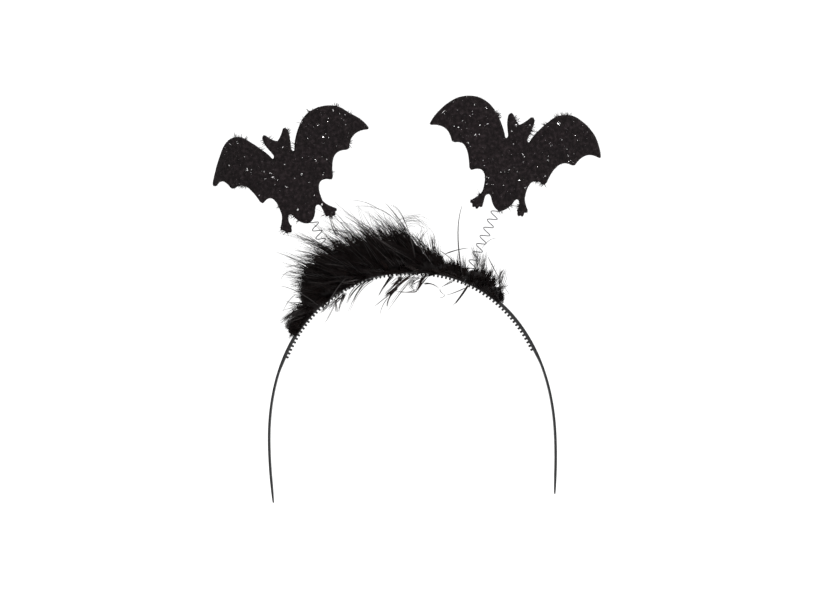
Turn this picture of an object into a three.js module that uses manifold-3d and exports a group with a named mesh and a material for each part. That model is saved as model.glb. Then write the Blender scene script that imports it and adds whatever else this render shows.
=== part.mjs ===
// Bat headband: a toothed plastic band with a feather trim and two bats on springs.
// Millimetres, +Z up, +X to the viewer's right, the bats face -Y.
// The origin is the inside of the band at the top of the arch, where it rests on the head.

import * as THREE from 'three';
import { mergeVertices } from 'three/addons/utils/BufferGeometryUtils.js';
import Module from 'manifold-3d';

const wasm = await Module();
wasm.setup();

// Driving dimensions: the band
const bandOuterWidth = 135.6;
const crownHeight = 82.6; // from the widest line up to the outside of the crown
const archExponent = 2.18; // 2 would be an ellipse, more is squarer in the shoulders
const legDrop = 24.9; // from the widest line down to the tips
const legTuck = 1.35; // how far the tips draw in
const bandThickness = 1.55; // where the teeth are
const legThickness = 1.15; // below them
const thinning = 8; // the run over which the one passes into the other
const bandWidth = 8;
const tipWidth = 4.6;
const tipThickness = 0.55;
const tipTaper = 9; // the run over which the tips thin
const edgeBevel = 0.25;

// Driving dimensions: the comb teeth
const toothPitch = 2;
const toothLength = 0.95;
const toothWidth = 1.4;
const toothHeight = 1.1;
const toothInset = 0.5; // from the band's edge to the row
const toothDrop = 39.5; // how far below the crown the rows end

// Driving dimensions: the wire springs
const wireDiameter = 0.45;
const coilDiameter = 4.6; // over the outside of the coil
const coilPitch = 4.2;
const coilStart = 2.1; // from the band's outside up to the first turn
const springReach = 48; // from the band's outside to the middle of the right bat's pad
const wireEnd = 10.5; // straight wire from the coil to the middle of the pad
const wireOverrun = 3; // and on past it

// Driving dimensions: the bats and their pads
const wingSpan = 82;
const batHeight = 51.1;
const batThickness = 2.5;
const curlTilt = 23; // degrees by which the left wing's backward bend leans in at the top
const curlRadius = 23.4;
const curlClearance = 0.5; // from the ear out to where the bend starts
const padDiameter = 9;
const padThickness = 1.7;

// Driving dimensions: the feather trim
const trimLeft = 54.3; // sideways from the middle to each end
const trimRight = 44.4;
const backingWidth = 9;
const backingHeight = 2.2;
const plumeHeight = 25;
const plumeDepth = 11; // from the middle to the front or the back of the down
const lockWidth = 5.8;
const lockSpacing = 5.2;

// Clearances
const gap = 0.3;

// Where each spring stands, how it leans and how far it reaches, and how its bat leans
// (degrees, outwards).
// foot is the share of half the band's width, sideways from the middle, and reach the share of
// springReach. The bat's middle is above its pad by a share of batHeight and aside of it by a
// share of wingSpan.
const sides = [
  {
    name: 'left', hand: -1, foot: 0.43, springLean: 24.8, reach: 0.942,
    batLean: 17.7, above: 0.198, aside: 0, curled: true,
  },
  {
    name: 'right', hand: 1, foot: 0.395, springLean: 26, reach: 1,
    batLean: 13.1, above: 0.19, aside: 0.02, curled: false,
  },
];

// Half of the bat's outline, from between the ears down to the tail, for its inner half, which
// is nearer the other bat. The outer half is its mirror image but for the leg.
// Each row is a curve from the row before: its end, and the point that it bends towards.
// x and bendX are per cent of half the wing span, y and bendY of the height.
const batOutline = [
  { part: 'between the ears', x: 0, y: 38.1, bendX: 0, bendY: 38.1 },
  { part: 'ear, inside', x: 9.1, y: 46.5, bendX: 4, bendY: 40 },
  { part: 'ear tip', x: 14.3, y: 45, bendX: 11.8, bendY: 48.9 },
  { part: 'ear, outside', x: 10.6, y: 26.3, bendX: 15.2, bendY: 38.6 },
  { part: 'neck notch', x: 14.3, y: 26.3, bendX: 12.4, bendY: 21.7 },
  { part: 'wing, inner edge', x: 28.3, y: 44.8, bendX: 19.5, bendY: 37.1 },
  { part: 'wing, rise', x: 53.4, y: 55.2, bendX: 39.2, bendY: 54.8 },
  { part: 'wing, fall', x: 87, y: 42.1, bendX: 72.2, bendY: 55 },
  { part: 'wing, outer edge', x: 100, y: 23, bendX: 97.3, bendY: 32 },
  { part: 'wing tip', x: 97.7, y: 21.7, bendX: 99.9, bendY: 21.4 },
  { part: 'outer scallop', x: 71.9, y: 11.9, bendX: 79, bendY: 26.3 },
  { part: 'outer cusp', x: 66.5, y: 11.4, bendX: 69.3, bendY: 10.6 },
  { part: 'middle scallop', x: 44, y: -8.2, bendX: 50.2, bendY: 15.2 },
  { part: 'inner cusp', x: 40.3, y: -10.5, bendX: 42, bendY: -11.2 },
  { part: 'inner scallop', x: 25, y: -17.1, bendX: 28, bendY: -4.8 },
  { part: 'flank', x: 24.2, y: -26.7, bendX: 24.1, bendY: -22 },
  { part: 'leg, outside', x: 35.6, y: -38.1, bendX: 26.1, bendY: -32.2 },
  { part: 'outer toe', x: 32.7, y: -41.7, bendX: 35.9, bendY: -40 },
  { part: 'middle toe', x: 28.9, y: -44, bendX: 32, bendY: -44.1 },
  { part: 'inner toe', x: 24.1, y: -43.2, bendX: 26.8, bendY: -45.8 },
  { part: 'heel', x: 20.9, y: -41.7, bendX: 21.6, bendY: -43.2 },
  { part: 'leg, inside', x: 20, y: -31.2, bendX: 20.7, bendY: -35.8 },
  { part: 'between leg and tail', x: 13.2, y: -31.4, bendX: 16.6, bendY: -26.7 },
  { part: 'tail', x: 0, y: -43.1, bendX: 8.6, bendY: -41.7 },
];

// The outer leg is slimmer and points down
const outerLeg = [
  { part: 'leg, outside', x: 30.3, y: -36.9, bendX: 25.2, bendY: -31.5 },
  { part: 'outer toe', x: 27.4, y: -41.2, bendX: 30.2, bendY: -39.2 },
  { part: 'middle toe', x: 23.4, y: -44.7, bendX: 26.3, bendY: -44.4 },
  { part: 'inner toe', x: 19, y: -41.1, bendX: 20.8, bendY: -44.3 },
  { part: 'heel', x: 19.6, y: -38.2, bendX: 18.9, bendY: -39.5 },
  { part: 'leg, inside', x: 19.1, y: -33.2, bendX: 20, bendY: -35.8 },
];

// The feather trim from its left end to its right end.
// at is the share of its run; down, plume and depth are shares of plumeHeight, plumeHeight and
// plumeDepth; lean is how far the nap lies over to the left, in degrees.
const plumeTable = [
  { at: 0, down: 0.1, plume: 0.22, depth: 0.4, lean: 15 },
  { at: 0.05, down: 0.24, plume: 0.4, depth: 0.6, lean: 40 },
  { at: 0.11, down: 0.34, plume: 0.46, depth: 0.7, lean: 52 },
  { at: 0.15, down: 0.46, plume: 0.66, depth: 0.85, lean: 58 },
  { at: 0.2, down: 0.6, plume: 0.84, depth: 1, lean: 56 },
  { at: 0.28, down: 0.68, plume: 1, depth: 1, lean: 50 },
  { at: 0.38, down: 0.72, plume: 1.08, depth: 1, lean: 42 },
  { at: 0.48, down: 0.68, plume: 1.08, depth: 1, lean: 38 },
  { at: 0.55, down: 0.56, plume: 0.96, depth: 0.95, lean: 38 },
  { at: 0.61, down: 0.34, plume: 0.72, depth: 0.9, lean: 40 },
  { at: 0.68, down: 0.22, plume: 0.5, depth: 0.8, lean: 44 },
  { at: 0.74, down: 0.15, plume: 0.3, depth: 0.7, lean: 44 },
  { at: 0.8, down: 0.17, plume: 0.36, depth: 0.7, lean: 30 },
  { at: 0.86, down: 0.24, plume: 0.46, depth: 0.75, lean: 20 },
  { at: 0.93, down: 0.18, plume: 0.34, depth: 0.6, lean: 12 },
  { at: 1, down: 0.09, plume: 0.18, depth: 0.4, lean: 4 },
];

// Materials
const bandPlastic = new THREE.MeshStandardMaterial({ color: 0x1b1b1d, roughness: 0.38, metalness: 0 });
const feather = new THREE.MeshStandardMaterial({ color: 0x0c090a, roughness: 0.8, metalness: 0 });
const steelWire = new THREE.MeshStandardMaterial({ color: 0x8c8e90, roughness: 0.32, metalness: 1 });
const glitterCloth = new THREE.MeshStandardMaterial({ color: 0x1a1517, roughness: 0.55, metalness: 0.2 });
const padFelt = new THREE.MeshStandardMaterial({ color: 0x141214, roughness: 0.95, metalness: 0 });

// Solids from meshes and back
function toSolid(geometry) {
  const bare = geometry.clone();
  bare.deleteAttribute('normal');
  bare.deleteAttribute('uv');
  const merged = mergeVertices(bare, 1e-4);
  return new wasm.Manifold(
    new wasm.Mesh({
      numProp: 3,
      vertProperties: new Float32Array(merged.attributes.position.array),
      triVerts: new Uint32Array(merged.index.array),
    }),
  );
}

function toGeometry(solid) {
  const mesh = solid.getMesh();
  const geometry = new THREE.BufferGeometry();
  geometry.setAttribute('position', new THREE.BufferAttribute(mesh.vertProperties, 3));
  geometry.setIndex(new THREE.BufferAttribute(mesh.triVerts, 1));
  geometry.computeVertexNormals();
  return geometry;
}

// A closed skin over rings of points, each ring with the same number of points, ends capped
function loft(rings) {
  const count = rings[0].length;
  const positions = rings.flat().flatMap((point) => [point.x, point.y, point.z]);
  const index = [];
  for (let ring = 0; ring + 1 < rings.length; ring += 1) {
    for (let side = 0; side < count; side += 1) {
      const a = ring * count + side;
      const b = ring * count + ((side + 1) % count);
      index.push(a, b, b + count, a, b + count, a + count);
    }
  }
  const last = (rings.length - 1) * count;
  for (let side = 1; side + 1 < count; side += 1) {
    index.push(0, side + 1, side, last, last + side, last + side + 1);
  }
  const geometry = new THREE.BufferGeometry();
  geometry.setAttribute('position', new THREE.Float32BufferAttribute(positions, 3));
  geometry.setIndex(index);
  return geometry;
}

// The arch: the band's outside, from the left tip to the right tip
const archHalfWidth = bandOuterWidth / 2;
const crownLevel = bandThickness;
const legShare = 0.2; // the share of the curve's parameter that each leg below the widest line has

class BandArch extends THREE.Curve {
  getPoint(t) {
    const side = t < 0.5 ? -1 : 1;
    const down = Math.abs(2 * t - 1);
    if (down > 1 - legShare) {
      const leg = (down - (1 - legShare)) / legShare;
      const x = archHalfWidth - legTuck * leg * leg;
      return new THREE.Vector3(side * x, 0, crownLevel - crownHeight - legDrop * leg);
    }
    const angle = (down / (1 - legShare)) * (Math.PI / 2);
    const x = archHalfWidth * Math.pow(Math.sin(angle), 2 / archExponent);
    const z = crownHeight * Math.pow(Math.max(Math.cos(angle), 0), 2 / archExponent);
    return new THREE.Vector3(side * x, 0, crownLevel - crownHeight + z);
  }
}

const arch = new BandArch();
arch.arcLengthDivisions = 2000;
const archLength = arch.getLength();

// Place and directions at a distance along the arch from the crown, to the right positive
function bandFrame(distance) {
  const u = 0.5 + distance / archLength;
  const along = arch.getTangentAt(u);
  return {
    at: arch.getPointAt(u),
    along,
    across: new THREE.Vector3(0, 1, 0),
    out: new THREE.Vector3(-along.z, 0, along.x),
  };
}

function place(frame, along, across, out) {
  return frame.at
    .clone()
    .addScaledVector(frame.along, along)
    .addScaledVector(frame.across, across)
    .addScaledVector(frame.out, out);
}

// The distance along the right half of the arch at which measure passes a value
function distanceWhere(measure, value) {
  let low = 0;
  let high = archLength / 2;
  for (let step = 0; step < 40; step += 1) {
    const middle = (low + high) / 2;
    if (measure(bandFrame(middle).at) < value) {
      low = middle;
    } else {
      high = middle;
    }
  }
  return (low + high) / 2;
}

const distanceAtX = (x) => distanceWhere((point) => point.x, x);
const distanceAtDrop = (drop) => distanceWhere((point) => crownLevel - point.z, drop);

// The band narrows towards its tips, and thins over the last of each leg to a round end
function widthAt(distance) {
  const share = Math.abs(distance) / (archLength / 2);
  const plain = bandWidth - (bandWidth - tipWidth) * Math.pow(share, 3);
  const toEnd = Math.max(archLength / 2 - Math.abs(distance), 0);
  const round = Math.min(toEnd / (tipWidth / 2), 1);
  return plain * Math.max(Math.sqrt(1 - (1 - round) * (1 - round)), 0.3);
}

const toothRun = distanceAtDrop(toothDrop);

function thicknessAt(distance) {
  const toEnd = archLength / 2 - Math.abs(distance);
  const beyondTeeth = THREE.MathUtils.clamp((Math.abs(distance) - toothRun) / thinning, 0, 1);
  const plain = bandThickness - (bandThickness - legThickness) * beyondTeeth;
  return tipThickness + (plain - tipThickness) * THREE.MathUtils.clamp(toEnd / tipTaper, 0, 1);
}

// The band's section: a flat strip with bevelled edges
function bandRing(distance) {
  const frame = bandFrame(distance);
  const w = widthAt(distance) / 2;
  const t = thicknessAt(distance);
  const b = Math.min(edgeBevel, t * 0.3, w * 0.5);
  const corners = [
    [w, -t + b], [w, -b], [w - b, 0], [-w + b, 0],
    [-w, -b], [-w, -t + b], [-w + b, -t], [w - b, -t],
  ];
  return corners.map(([across, out]) => place(frame, 0, across, out));
}

// Fine steps at the round tips, even steps between
function bandStations() {
  const half = archLength / 2;
  const tipSteps = [0, 0.25, 0.8, 1.6, tipWidth / 2, tipTaper / 2, tipTaper];
  const steps = 34;
  const distances = tipSteps.map((step) => half - step);
  for (let step = 1; step <= steps; step += 1) {
    distances.push((half - tipTaper) * (1 - step / steps));
  }
  const left = distances.map((distance) => -distance);
  const right = distances.slice(0, -1).reverse();
  return [...left, ...right];
}

const toothGaps = Math.floor(toothRun / toothPitch);

function toothAt(distance, row) {
  const root = 0.3; // how far a tooth is sunk into the band
  const peg = new THREE.BoxGeometry(toothLength, toothWidth, toothHeight + root);
  const frame = bandFrame(distance);
  const across = row * (widthAt(distance) / 2 - toothInset - toothWidth / 2);
  const out = -bandThickness + root - (toothHeight + root) / 2;
  const matrix = new THREE.Matrix4().makeBasis(frame.along, frame.across, frame.out);
  matrix.setPosition(place(frame, 0, across, out));
  return peg.applyMatrix4(matrix);
}

function buildHeadband() {
  const solids = [toSolid(loft(bandStations().map(bandRing)))];
  for (let step = -toothGaps; step < toothGaps; step += 1) {
    for (const row of [-1, 1]) {
      solids.push(toSolid(toothAt((step + 0.5) * toothPitch, row)));
    }
  }
  return toGeometry(wasm.Manifold.union(solids));
}

// A spring's own directions at its foot, which is on the band's outside over a gap between teeth
const wireRadius = wireDiameter / 2;
const coilRadius = coilDiameter / 2 - wireRadius;

function springFrame(side) {
  const wanted = distanceAtX(side.foot * archHalfWidth) / toothPitch;
  const distance = side.hand * Math.round(wanted) * toothPitch;
  const foot = bandFrame(distance);
  const lean = THREE.MathUtils.degToRad(side.springLean) * side.hand;
  const up = new THREE.Vector3(Math.sin(lean), 0, Math.cos(lean));
  const aside = new THREE.Vector3(Math.cos(lean), 0, -Math.sin(lean));
  const spring = { at: foot.at, along: aside, across: foot.across, out: up };
  return { distance, foot, spring, reach: side.reach * springReach };
}

// The wire once round the band, with round corners, between two teeth
function wrapPoints(foot, distance) {
  const clear = gap + wireRadius;
  const corner = clear + wireRadius;
  const w = widthAt(distance) / 2 + clear - corner;
  const high = clear - corner;
  const low = corner - clear - bandThickness;
  const points = [place(foot, -1.1, 0.5, clear), place(foot, -0.5, w * 0.6, clear)];
  for (const [across, out, quarter] of [[w, high, 0], [w, low, 1], [-w, low, 2], [-w, high, 3]]) {
    for (let step = 0; step <= 3; step += 1) {
      const angle = (quarter + step / 3) * (Math.PI / 2);
      const sideways = across + corner * Math.sin(angle);
      points.push(place(foot, 0, sideways, out + corner * Math.cos(angle)));
    }
  }
  return points;
}

const turnSteps = 10;
const firstAngle = -50; // degrees round the coil at which the wire comes up from the band

function coilPoints(spring, reach) {
  const height = reach - wireEnd - coilStart;
  const startAngle = THREE.MathUtils.degToRad(firstAngle);
  const lastAngle = Math.PI;
  const turns = Math.round(height / coilPitch) + (lastAngle - startAngle) / (2 * Math.PI) - 1;
  const count = Math.ceil(turns * turnSteps);
  const points = [];
  for (let step = 0; step <= count; step += 1) {
    const share = step / count;
    const angle = startAngle + share * turns * 2 * Math.PI;
    const across = coilRadius * Math.sin(angle);
    points.push(place(spring, coilRadius * Math.cos(angle), across, coilStart + share * height));
  }
  return points;
}

// The straight end: from the coil's left side it bends up at the front, on the bat's back
function endPoints(spring, reach) {
  const top = reach - wireEnd;
  const points = [];
  for (const degrees of [25, 55, 90]) {
    const angle = THREE.MathUtils.degToRad(degrees);
    const rise = coilRadius * (1 - Math.cos(angle));
    points.push(place(spring, -coilRadius, -coilRadius * Math.sin(angle), top + rise));
  }
  points.push(place(spring, -coilRadius, -coilRadius, reach + wireOverrun));
  return points;
}

// A wire's path: its points are taken one after another, with straight wire between
class WirePath extends THREE.Curve {
  constructor(points) {
    super();
    this.points = points;
  }

  getPoint(t) {
    const passed = t * (this.points.length - 1);
    const first = Math.min(Math.floor(passed), this.points.length - 2);
    return this.points[first].clone().lerp(this.points[first + 1], passed - first);
  }

  getTangent(t) {
    const step = 0.5 / (this.points.length - 1);
    const before = this.getPoint(Math.max(t - step, 0));
    return this.getPoint(Math.min(t + step, 1)).sub(before).normalize();
  }

  getUtoTmapping(u) {
    return u;
  }
}

function wireSection(radius, count) {
  const points = [];
  for (let side = 0; side < count; side += 1) {
    const angle = (side / count) * 2 * Math.PI;
    points.push(new THREE.Vector2(radius * Math.cos(angle), radius * Math.sin(angle)));
  }
  return new THREE.Shape(points);
}

function buildSpring(side) {
  const { distance, foot, spring, reach } = springFrame(side);
  const points = [
    ...wrapPoints(foot, distance),
    ...coilPoints(spring, reach),
    ...endPoints(spring, reach),
  ];
  const extrudePath = new WirePath(points);
  return new THREE.ExtrudeGeometry(wireSection(wireRadius, 5), {
    steps: points.length - 1,
    extrudePath,
  });
}

// The bat's outline: the half outline, and its mirror image with the outer leg's own rows
function batPoints(side) {
  const scaleX = wingSpan / 2 / 100;
  const scaleY = batHeight / 100;
  const outerHalf = batOutline.map((row) => outerLeg.find((own) => own.part === row.part) ?? row);
  const [right, left] = side.hand > 0 ? [outerHalf, batOutline] : [batOutline, outerHalf];
  const shape = new THREE.Shape();
  shape.moveTo(right[0].x * scaleX, right[0].y * scaleY);
  for (const row of right.slice(1)) {
    shape.quadraticCurveTo(row.bendX * scaleX, row.bendY * scaleY, row.x * scaleX, row.y * scaleY);
  }
  for (let step = left.length - 1; step > 0; step -= 1) {
    const [row, to] = [left[step], left[step - 1]];
    shape.quadraticCurveTo(-row.bendX * scaleX, row.bendY * scaleY, -to.x * scaleX, to.y * scaleY);
  }
  const points = shape.getPoints(4);
  points.pop(); // the last point is the first again
  return THREE.ShapeUtils.isClockWise(points) ? points.reverse() : points;
}

// The way out over the bend, in the outline's plane
const curlAngle = THREE.MathUtils.degToRad(curlTilt);
const curlOut = new THREE.Vector2(-Math.cos(curlAngle), Math.sin(curlAngle));
const earReach = Math.max(
  ...batOutline
    .filter((row) => row.part.startsWith('ear'))
    .map((row) => -curlOut.x * row.bendX * wingSpan / 200 + curlOut.y * row.bendY * batHeight / 100),
);
const curlStart = earReach + curlClearance;
const curlSteps = [0, 1, 2, 3, 4, 5].map((step) => curlStart + step * curlRadius * 0.2);

// The outline with a point added wherever it crosses one of the bend's lines
function cutOutline(points) {
  const cut = [];
  points.forEach((point, index) => {
    const next = points[(index + 1) % points.length];
    const [from, to] = [point.dot(curlOut), next.dot(curlOut)];
    cut.push(point);
    const crossings = curlSteps
      .map((line) => ({ line, share: (line - from) / (to - from) }))
      .filter(({ share }) => share > 0 && share < 1)
      .sort((one, other) => one.share - other.share);
    for (const { line, share } of crossings) {
      const crossing = point.clone().lerp(next, share);
      crossing.cutAt = line;
      cut.push(crossing);
    }
  });
  return cut;
}

// The outline's points between each two lines of the bend, each set a flat piece of its own
function batStrips(points) {
  const lines = [-Infinity, ...curlSteps, Infinity];
  return lines.slice(1).map((high, step) => {
    const low = lines[step];
    return points.filter((point) => {
      const distance = point.cutAt ?? point.dot(curlOut);
      return distance >= low && distance <= high;
    });
  });
}

// A point of the sheet, forward of its middle by ahead, after the bend
function sheetPoint(point, ahead) {
  const distance = point.cutAt ?? point.dot(curlOut);
  const angle = Math.max(distance - curlStart, 0) / curlRadius;
  const flat = Math.max(distance - curlStart, 0);
  const shift = (curlRadius + ahead) * Math.sin(angle) - flat;
  const back = curlRadius - (curlRadius + ahead) * Math.cos(angle);
  return [point.x + curlOut.x * shift, back, point.y + curlOut.y * shift];
}

// The curled sheet: front and back in strips, and a wall all round
function curledSheet(outline) {
  const points = cutOutline(outline);
  const positions = [];
  const triangle = (...corners) => positions.push(...corners.flat());
  const ahead = batThickness / 2;
  for (const strip of batStrips(points)) {
    for (const [a, b, c] of THREE.ShapeUtils.triangulateShape(strip, [])) {
      const corners = [strip[a], strip[b], strip[c]];
      const front = corners.map((corner) => sheetPoint(corner, ahead));
      const back = corners.map((corner) => sheetPoint(corner, -ahead));
      triangle(front[0], front[1], front[2]);
      triangle(back[0], back[2], back[1]);
    }
  }
  points.forEach((point, index) => {
    const next = points[(index + 1) % points.length];
    const [a, b] = [sheetPoint(point, ahead), sheetPoint(next, ahead)];
    const [c, d] = [sheetPoint(next, -ahead), sheetPoint(point, -ahead)];
    triangle(a, c, b);
    triangle(a, d, c);
  });
  const geometry = new THREE.BufferGeometry();
  geometry.setAttribute('position', new THREE.Float32BufferAttribute(positions, 3));
  geometry.computeVertexNormals();
  return geometry;
}

function buildBat(side) {
  const outline = batPoints(side);
  if (side.curled) {
    return curledSheet(outline);
  }
  const sheet = new THREE.ExtrudeGeometry(new THREE.Shape(outline), {
    depth: batThickness,
    bevelEnabled: false,
  });
  sheet.translate(0, 0, -batThickness / 2);
  return sheet.rotateX(Math.PI / 2);
}

// The pad: a disc with a channel in its front for the wire's end
function buildPad(side) {
  const disc = new THREE.CylinderGeometry(padDiameter / 2, padDiameter / 2, padThickness, 24);
  const channelDepth = wireDiameter + gap;
  const channelWidth = wireDiameter + 2 * gap;
  const slope = THREE.MathUtils.degToRad(side.springLean - side.batLean) * side.hand;
  const channel = new THREE.BoxGeometry(channelWidth, 2 * channelDepth, padDiameter);
  const down = (padDiameter / 2 - wireOverrun - gap) / 2;
  channel.translate(0, -padThickness / 2, -down - gap);
  channel.rotateY(slope);
  return toGeometry(toSolid(disc).subtract(toSolid(channel)));
}

// Where each bat stands: in front of its coil, its pad on the wire's end
function batGroup(side) {
  const { spring, reach } = springFrame(side);
  const front = -coilDiameter / 2 - gap - batThickness / 2;
  const padPlace = place(spring, -coilRadius, 0, reach);
  const group = new THREE.Group();
  const lean = THREE.MathUtils.degToRad(side.batLean) * side.hand;
  group.position.set(padPlace.x, front, padPlace.z);
  group.rotation.y = lean;
  const bat = new THREE.Mesh(buildBat(side), glitterCloth.clone());
  bat.name = `${side.name}_bat`;
  bat.position.set(side.aside * wingSpan, 0, side.above * batHeight);
  const pad = new THREE.Mesh(buildPad(side), padFelt.clone());
  pad.name = `${side.name}_pad`;
  pad.position.y = batThickness / 2 + gap + padThickness / 2;
  group.add(bat, pad);
  return group;
}

// Values of the trim's table at a share of its run, straight between its rows
function plumeAt(share) {
  const next = Math.max(plumeTable.findIndex((row) => row.at >= share), 1);
  const [low, high] = [plumeTable[next - 1], plumeTable[next]];
  const mix = THREE.MathUtils.clamp((share - low.at) / (high.at - low.at), 0, 1);
  const between = (key) => low[key] + (high[key] - low[key]) * mix;
  return {
    down: between('down') * plumeHeight,
    plume: between('plume') * plumeHeight,
    depth: between('depth') * plumeDepth,
    lean: THREE.MathUtils.degToRad(between('lean')),
  };
}

const trimStart = -distanceAtX(trimLeft);
const trimEnd = distanceAtX(trimRight);
const trimFloor = gap;

// The backing strip with its down: a low dome on the band's outside, wider where it is full
function downRing(share) {
  const frame = bandFrame(trimStart + share * (trimEnd - trimStart));
  const row = plumeAt(share);
  const height = Math.max(row.down, backingHeight);
  const half = Math.max(row.depth * 0.8, backingWidth / 2);
  const points = [];
  const steps = 8;
  for (let step = 0; step <= steps; step += 1) {
    const angle = (step / steps) * Math.PI;
    const low = Math.min(backingWidth / 2, half);
    const across = step === 0 || step === steps ? low : half;
    const rise = Math.sin(angle) * height;
    const aside = -rise * Math.tan(row.lean) * 0.4;
    points.push(place(frame, aside, across * Math.cos(angle), trimFloor - gap + rise));
  }
  return points;
}

// Everything below the trim's floor, all along the arch: the band and the head's space
function belowTrimRing(distance) {
  const frame = bandFrame(distance);
  const reach = 4 * plumeDepth;
  const deep = archHalfWidth / 3;
  return [[reach, -deep], [reach, trimFloor], [-reach, trimFloor], [-reach, -deep]]
    .map(([across, out]) => place(frame, 0, across, out));
}

// One lock: a tapering curl that starts upright and lies over with the nap
function lock(share, splay, fullness) {
  const frame = bandFrame(trimStart + share * (trimEnd - trimStart));
  const row = plumeAt(share);
  const length = (row.plume * fullness) / Math.cos(row.lean * 0.55);
  const steps = 3;
  const sidesRound = 3;
  const rings = [];
  const centre = place(frame, 0, Math.sin(splay) * backingWidth * 0.3, trimFloor + 0.6);
  for (let step = 0; step <= steps; step += 1) {
    const share01 = step / steps;
    const angle = row.lean * (0.35 + 0.85 * share01);
    const outwards = Math.cos(angle) * Math.cos(splay);
    const forwards = Math.cos(angle) * Math.sin(splay);
    const direction = new THREE.Vector3()
      .addScaledVector(frame.along, -Math.sin(angle))
      .addScaledVector(frame.across, forwards)
      .addScaledVector(frame.out, outwards);
    const radius = (lockWidth / 2) * (1 - share01) * Math.sqrt(row.plume / plumeHeight) + 0.22;
    const u = new THREE.Vector3().crossVectors(direction, frame.across).normalize();
    const v = new THREE.Vector3().crossVectors(direction, u).normalize();
    const ring = [];
    for (let side = 0; side < sidesRound; side += 1) {
      const turn = (side / sidesRound) * 2 * Math.PI;
      ring.push(
        centre.clone()
          .addScaledVector(u, radius * Math.cos(turn))
          .addScaledVector(v, radius * Math.sin(turn)),
      );
    }
    rings.push(ring);
    centre.addScaledVector(direction, length / steps);
  }
  return loft(rings);
}

// What the springs need clear: the coil, and the wire that goes round the band
function springClearance(side) {
  const { foot, spring, reach } = springFrame(side);
  const radius = coilDiameter / 2 + gap;
  const bore = new THREE.CylinderGeometry(radius, radius, reach, 16);
  const up = new THREE.Matrix4().makeBasis(spring.along, spring.out, spring.across.clone().negate());
  up.setPosition(place(spring, 0, 0, reach / 2));
  bore.applyMatrix4(up);
  const flat = new THREE.Matrix4().makeBasis(foot.along, foot.across, foot.out);
  flat.setPosition(foot.at);
  const wrapTop = wireDiameter + 2 * gap;
  const slot = new THREE.BoxGeometry(coilDiameter + 2 * gap, 4 * backingWidth, 2 * wrapTop);
  const riseTop = coilStart + wireRadius + gap;
  const rise = new THREE.BoxGeometry(coilDiameter + 2 * gap, widthAt(0) / 2, riseTop);
  rise.translate(0, -widthAt(0) / 4, riseTop / 2);
  return [toSolid(bore), toSolid(slot.applyMatrix4(flat)), toSolid(rise.applyMatrix4(flat))];
}

function buildTrim() {
  const rings = [];
  const ringCount = 20;
  for (let step = 0; step <= ringCount; step += 1) {
    rings.push(downRing(step / ringCount));
  }
  const solids = [toSolid(loft(rings))];
  const run = trimEnd - trimStart;
  const lockCount = Math.round(run / lockSpacing);
  const splays = [-64, -22, 22, 64];
  for (let step = 0; step <= lockCount; step += 1) {
    splays.forEach((splay, row) => {
      const share = (step + (row % 2) * 0.5) / (lockCount + 0.5);
      const fullness = Math.abs(splay) < 45 ? 1 - 0.14 * ((step + row) % 3) : 0.8;
      solids.push(toSolid(lock(share, THREE.MathUtils.degToRad(splay), fullness)));
    });
  }
  const below = [];
  const belowSteps = 48;
  for (let step = 0; step <= belowSteps; step += 1) {
    below.push(belowTrimRing((step / belowSteps - 0.5) * 0.9 * archLength));
  }
  const clearances = [toSolid(loft(below)), ...sides.flatMap(springClearance)];
  const whole = wasm.Manifold.union(solids).subtract(wasm.Manifold.union(clearances));
  // The tips that the springs cut loose are left off
  const bodies = whole.decompose().sort((one, other) => other.volume() - one.volume());
  return toGeometry(bodies[0]);
}

// The headband
const headbandGroup = new THREE.Group();

function addPiece(name, geometry, material) {
  const mesh = new THREE.Mesh(geometry, material);
  mesh.name = name;
  headbandGroup.add(mesh);
}

addPiece('headband', buildHeadband(), bandPlastic);
addPiece('feather_trim', buildTrim(), feather);
for (const side of sides) {
  addPiece(`${side.name}_spring`, buildSpring(side), steelWire.clone());
  headbandGroup.add(batGroup(side));
}

export default headbandGroup;
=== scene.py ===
# %% [markdown]
# # A bat headband, dressed in Blender
# The real thing is a slim black plastic headband with comb teeth inside. A black feather trim
# lies over its crown, and two glitter cloth bats bob on wire springs. The solids come from the
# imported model, so each new piece here only has to take their place. All shapes are worked out
# in millimetres, as arrays, and turned to metres once, when a mesh is made.

# %% Load the solids
import math

import bpy
import numpy as np
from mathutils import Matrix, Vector, geometry


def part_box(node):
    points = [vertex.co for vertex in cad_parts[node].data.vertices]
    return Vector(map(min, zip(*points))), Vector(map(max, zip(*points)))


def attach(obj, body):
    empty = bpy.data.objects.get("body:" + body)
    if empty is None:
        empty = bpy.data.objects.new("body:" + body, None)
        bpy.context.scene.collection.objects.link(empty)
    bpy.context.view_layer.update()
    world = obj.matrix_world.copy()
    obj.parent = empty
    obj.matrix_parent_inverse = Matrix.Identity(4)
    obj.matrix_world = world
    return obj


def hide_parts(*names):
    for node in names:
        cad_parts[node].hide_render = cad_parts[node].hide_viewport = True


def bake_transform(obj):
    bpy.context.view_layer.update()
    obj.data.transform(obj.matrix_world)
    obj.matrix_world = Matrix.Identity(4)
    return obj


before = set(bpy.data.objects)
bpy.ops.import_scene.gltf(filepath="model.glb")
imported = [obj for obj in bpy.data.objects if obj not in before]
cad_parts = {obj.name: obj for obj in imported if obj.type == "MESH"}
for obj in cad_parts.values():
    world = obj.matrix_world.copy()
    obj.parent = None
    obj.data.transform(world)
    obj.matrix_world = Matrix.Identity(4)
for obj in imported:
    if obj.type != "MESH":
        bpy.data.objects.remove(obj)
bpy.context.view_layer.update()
MM = 0.001


def node_box(node):
    """The lowest and highest corner of a solid, in millimetres."""
    low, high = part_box(node)
    return np.array(low) / MM, np.array(high) / MM


print("solids:", sorted(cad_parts))

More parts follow.
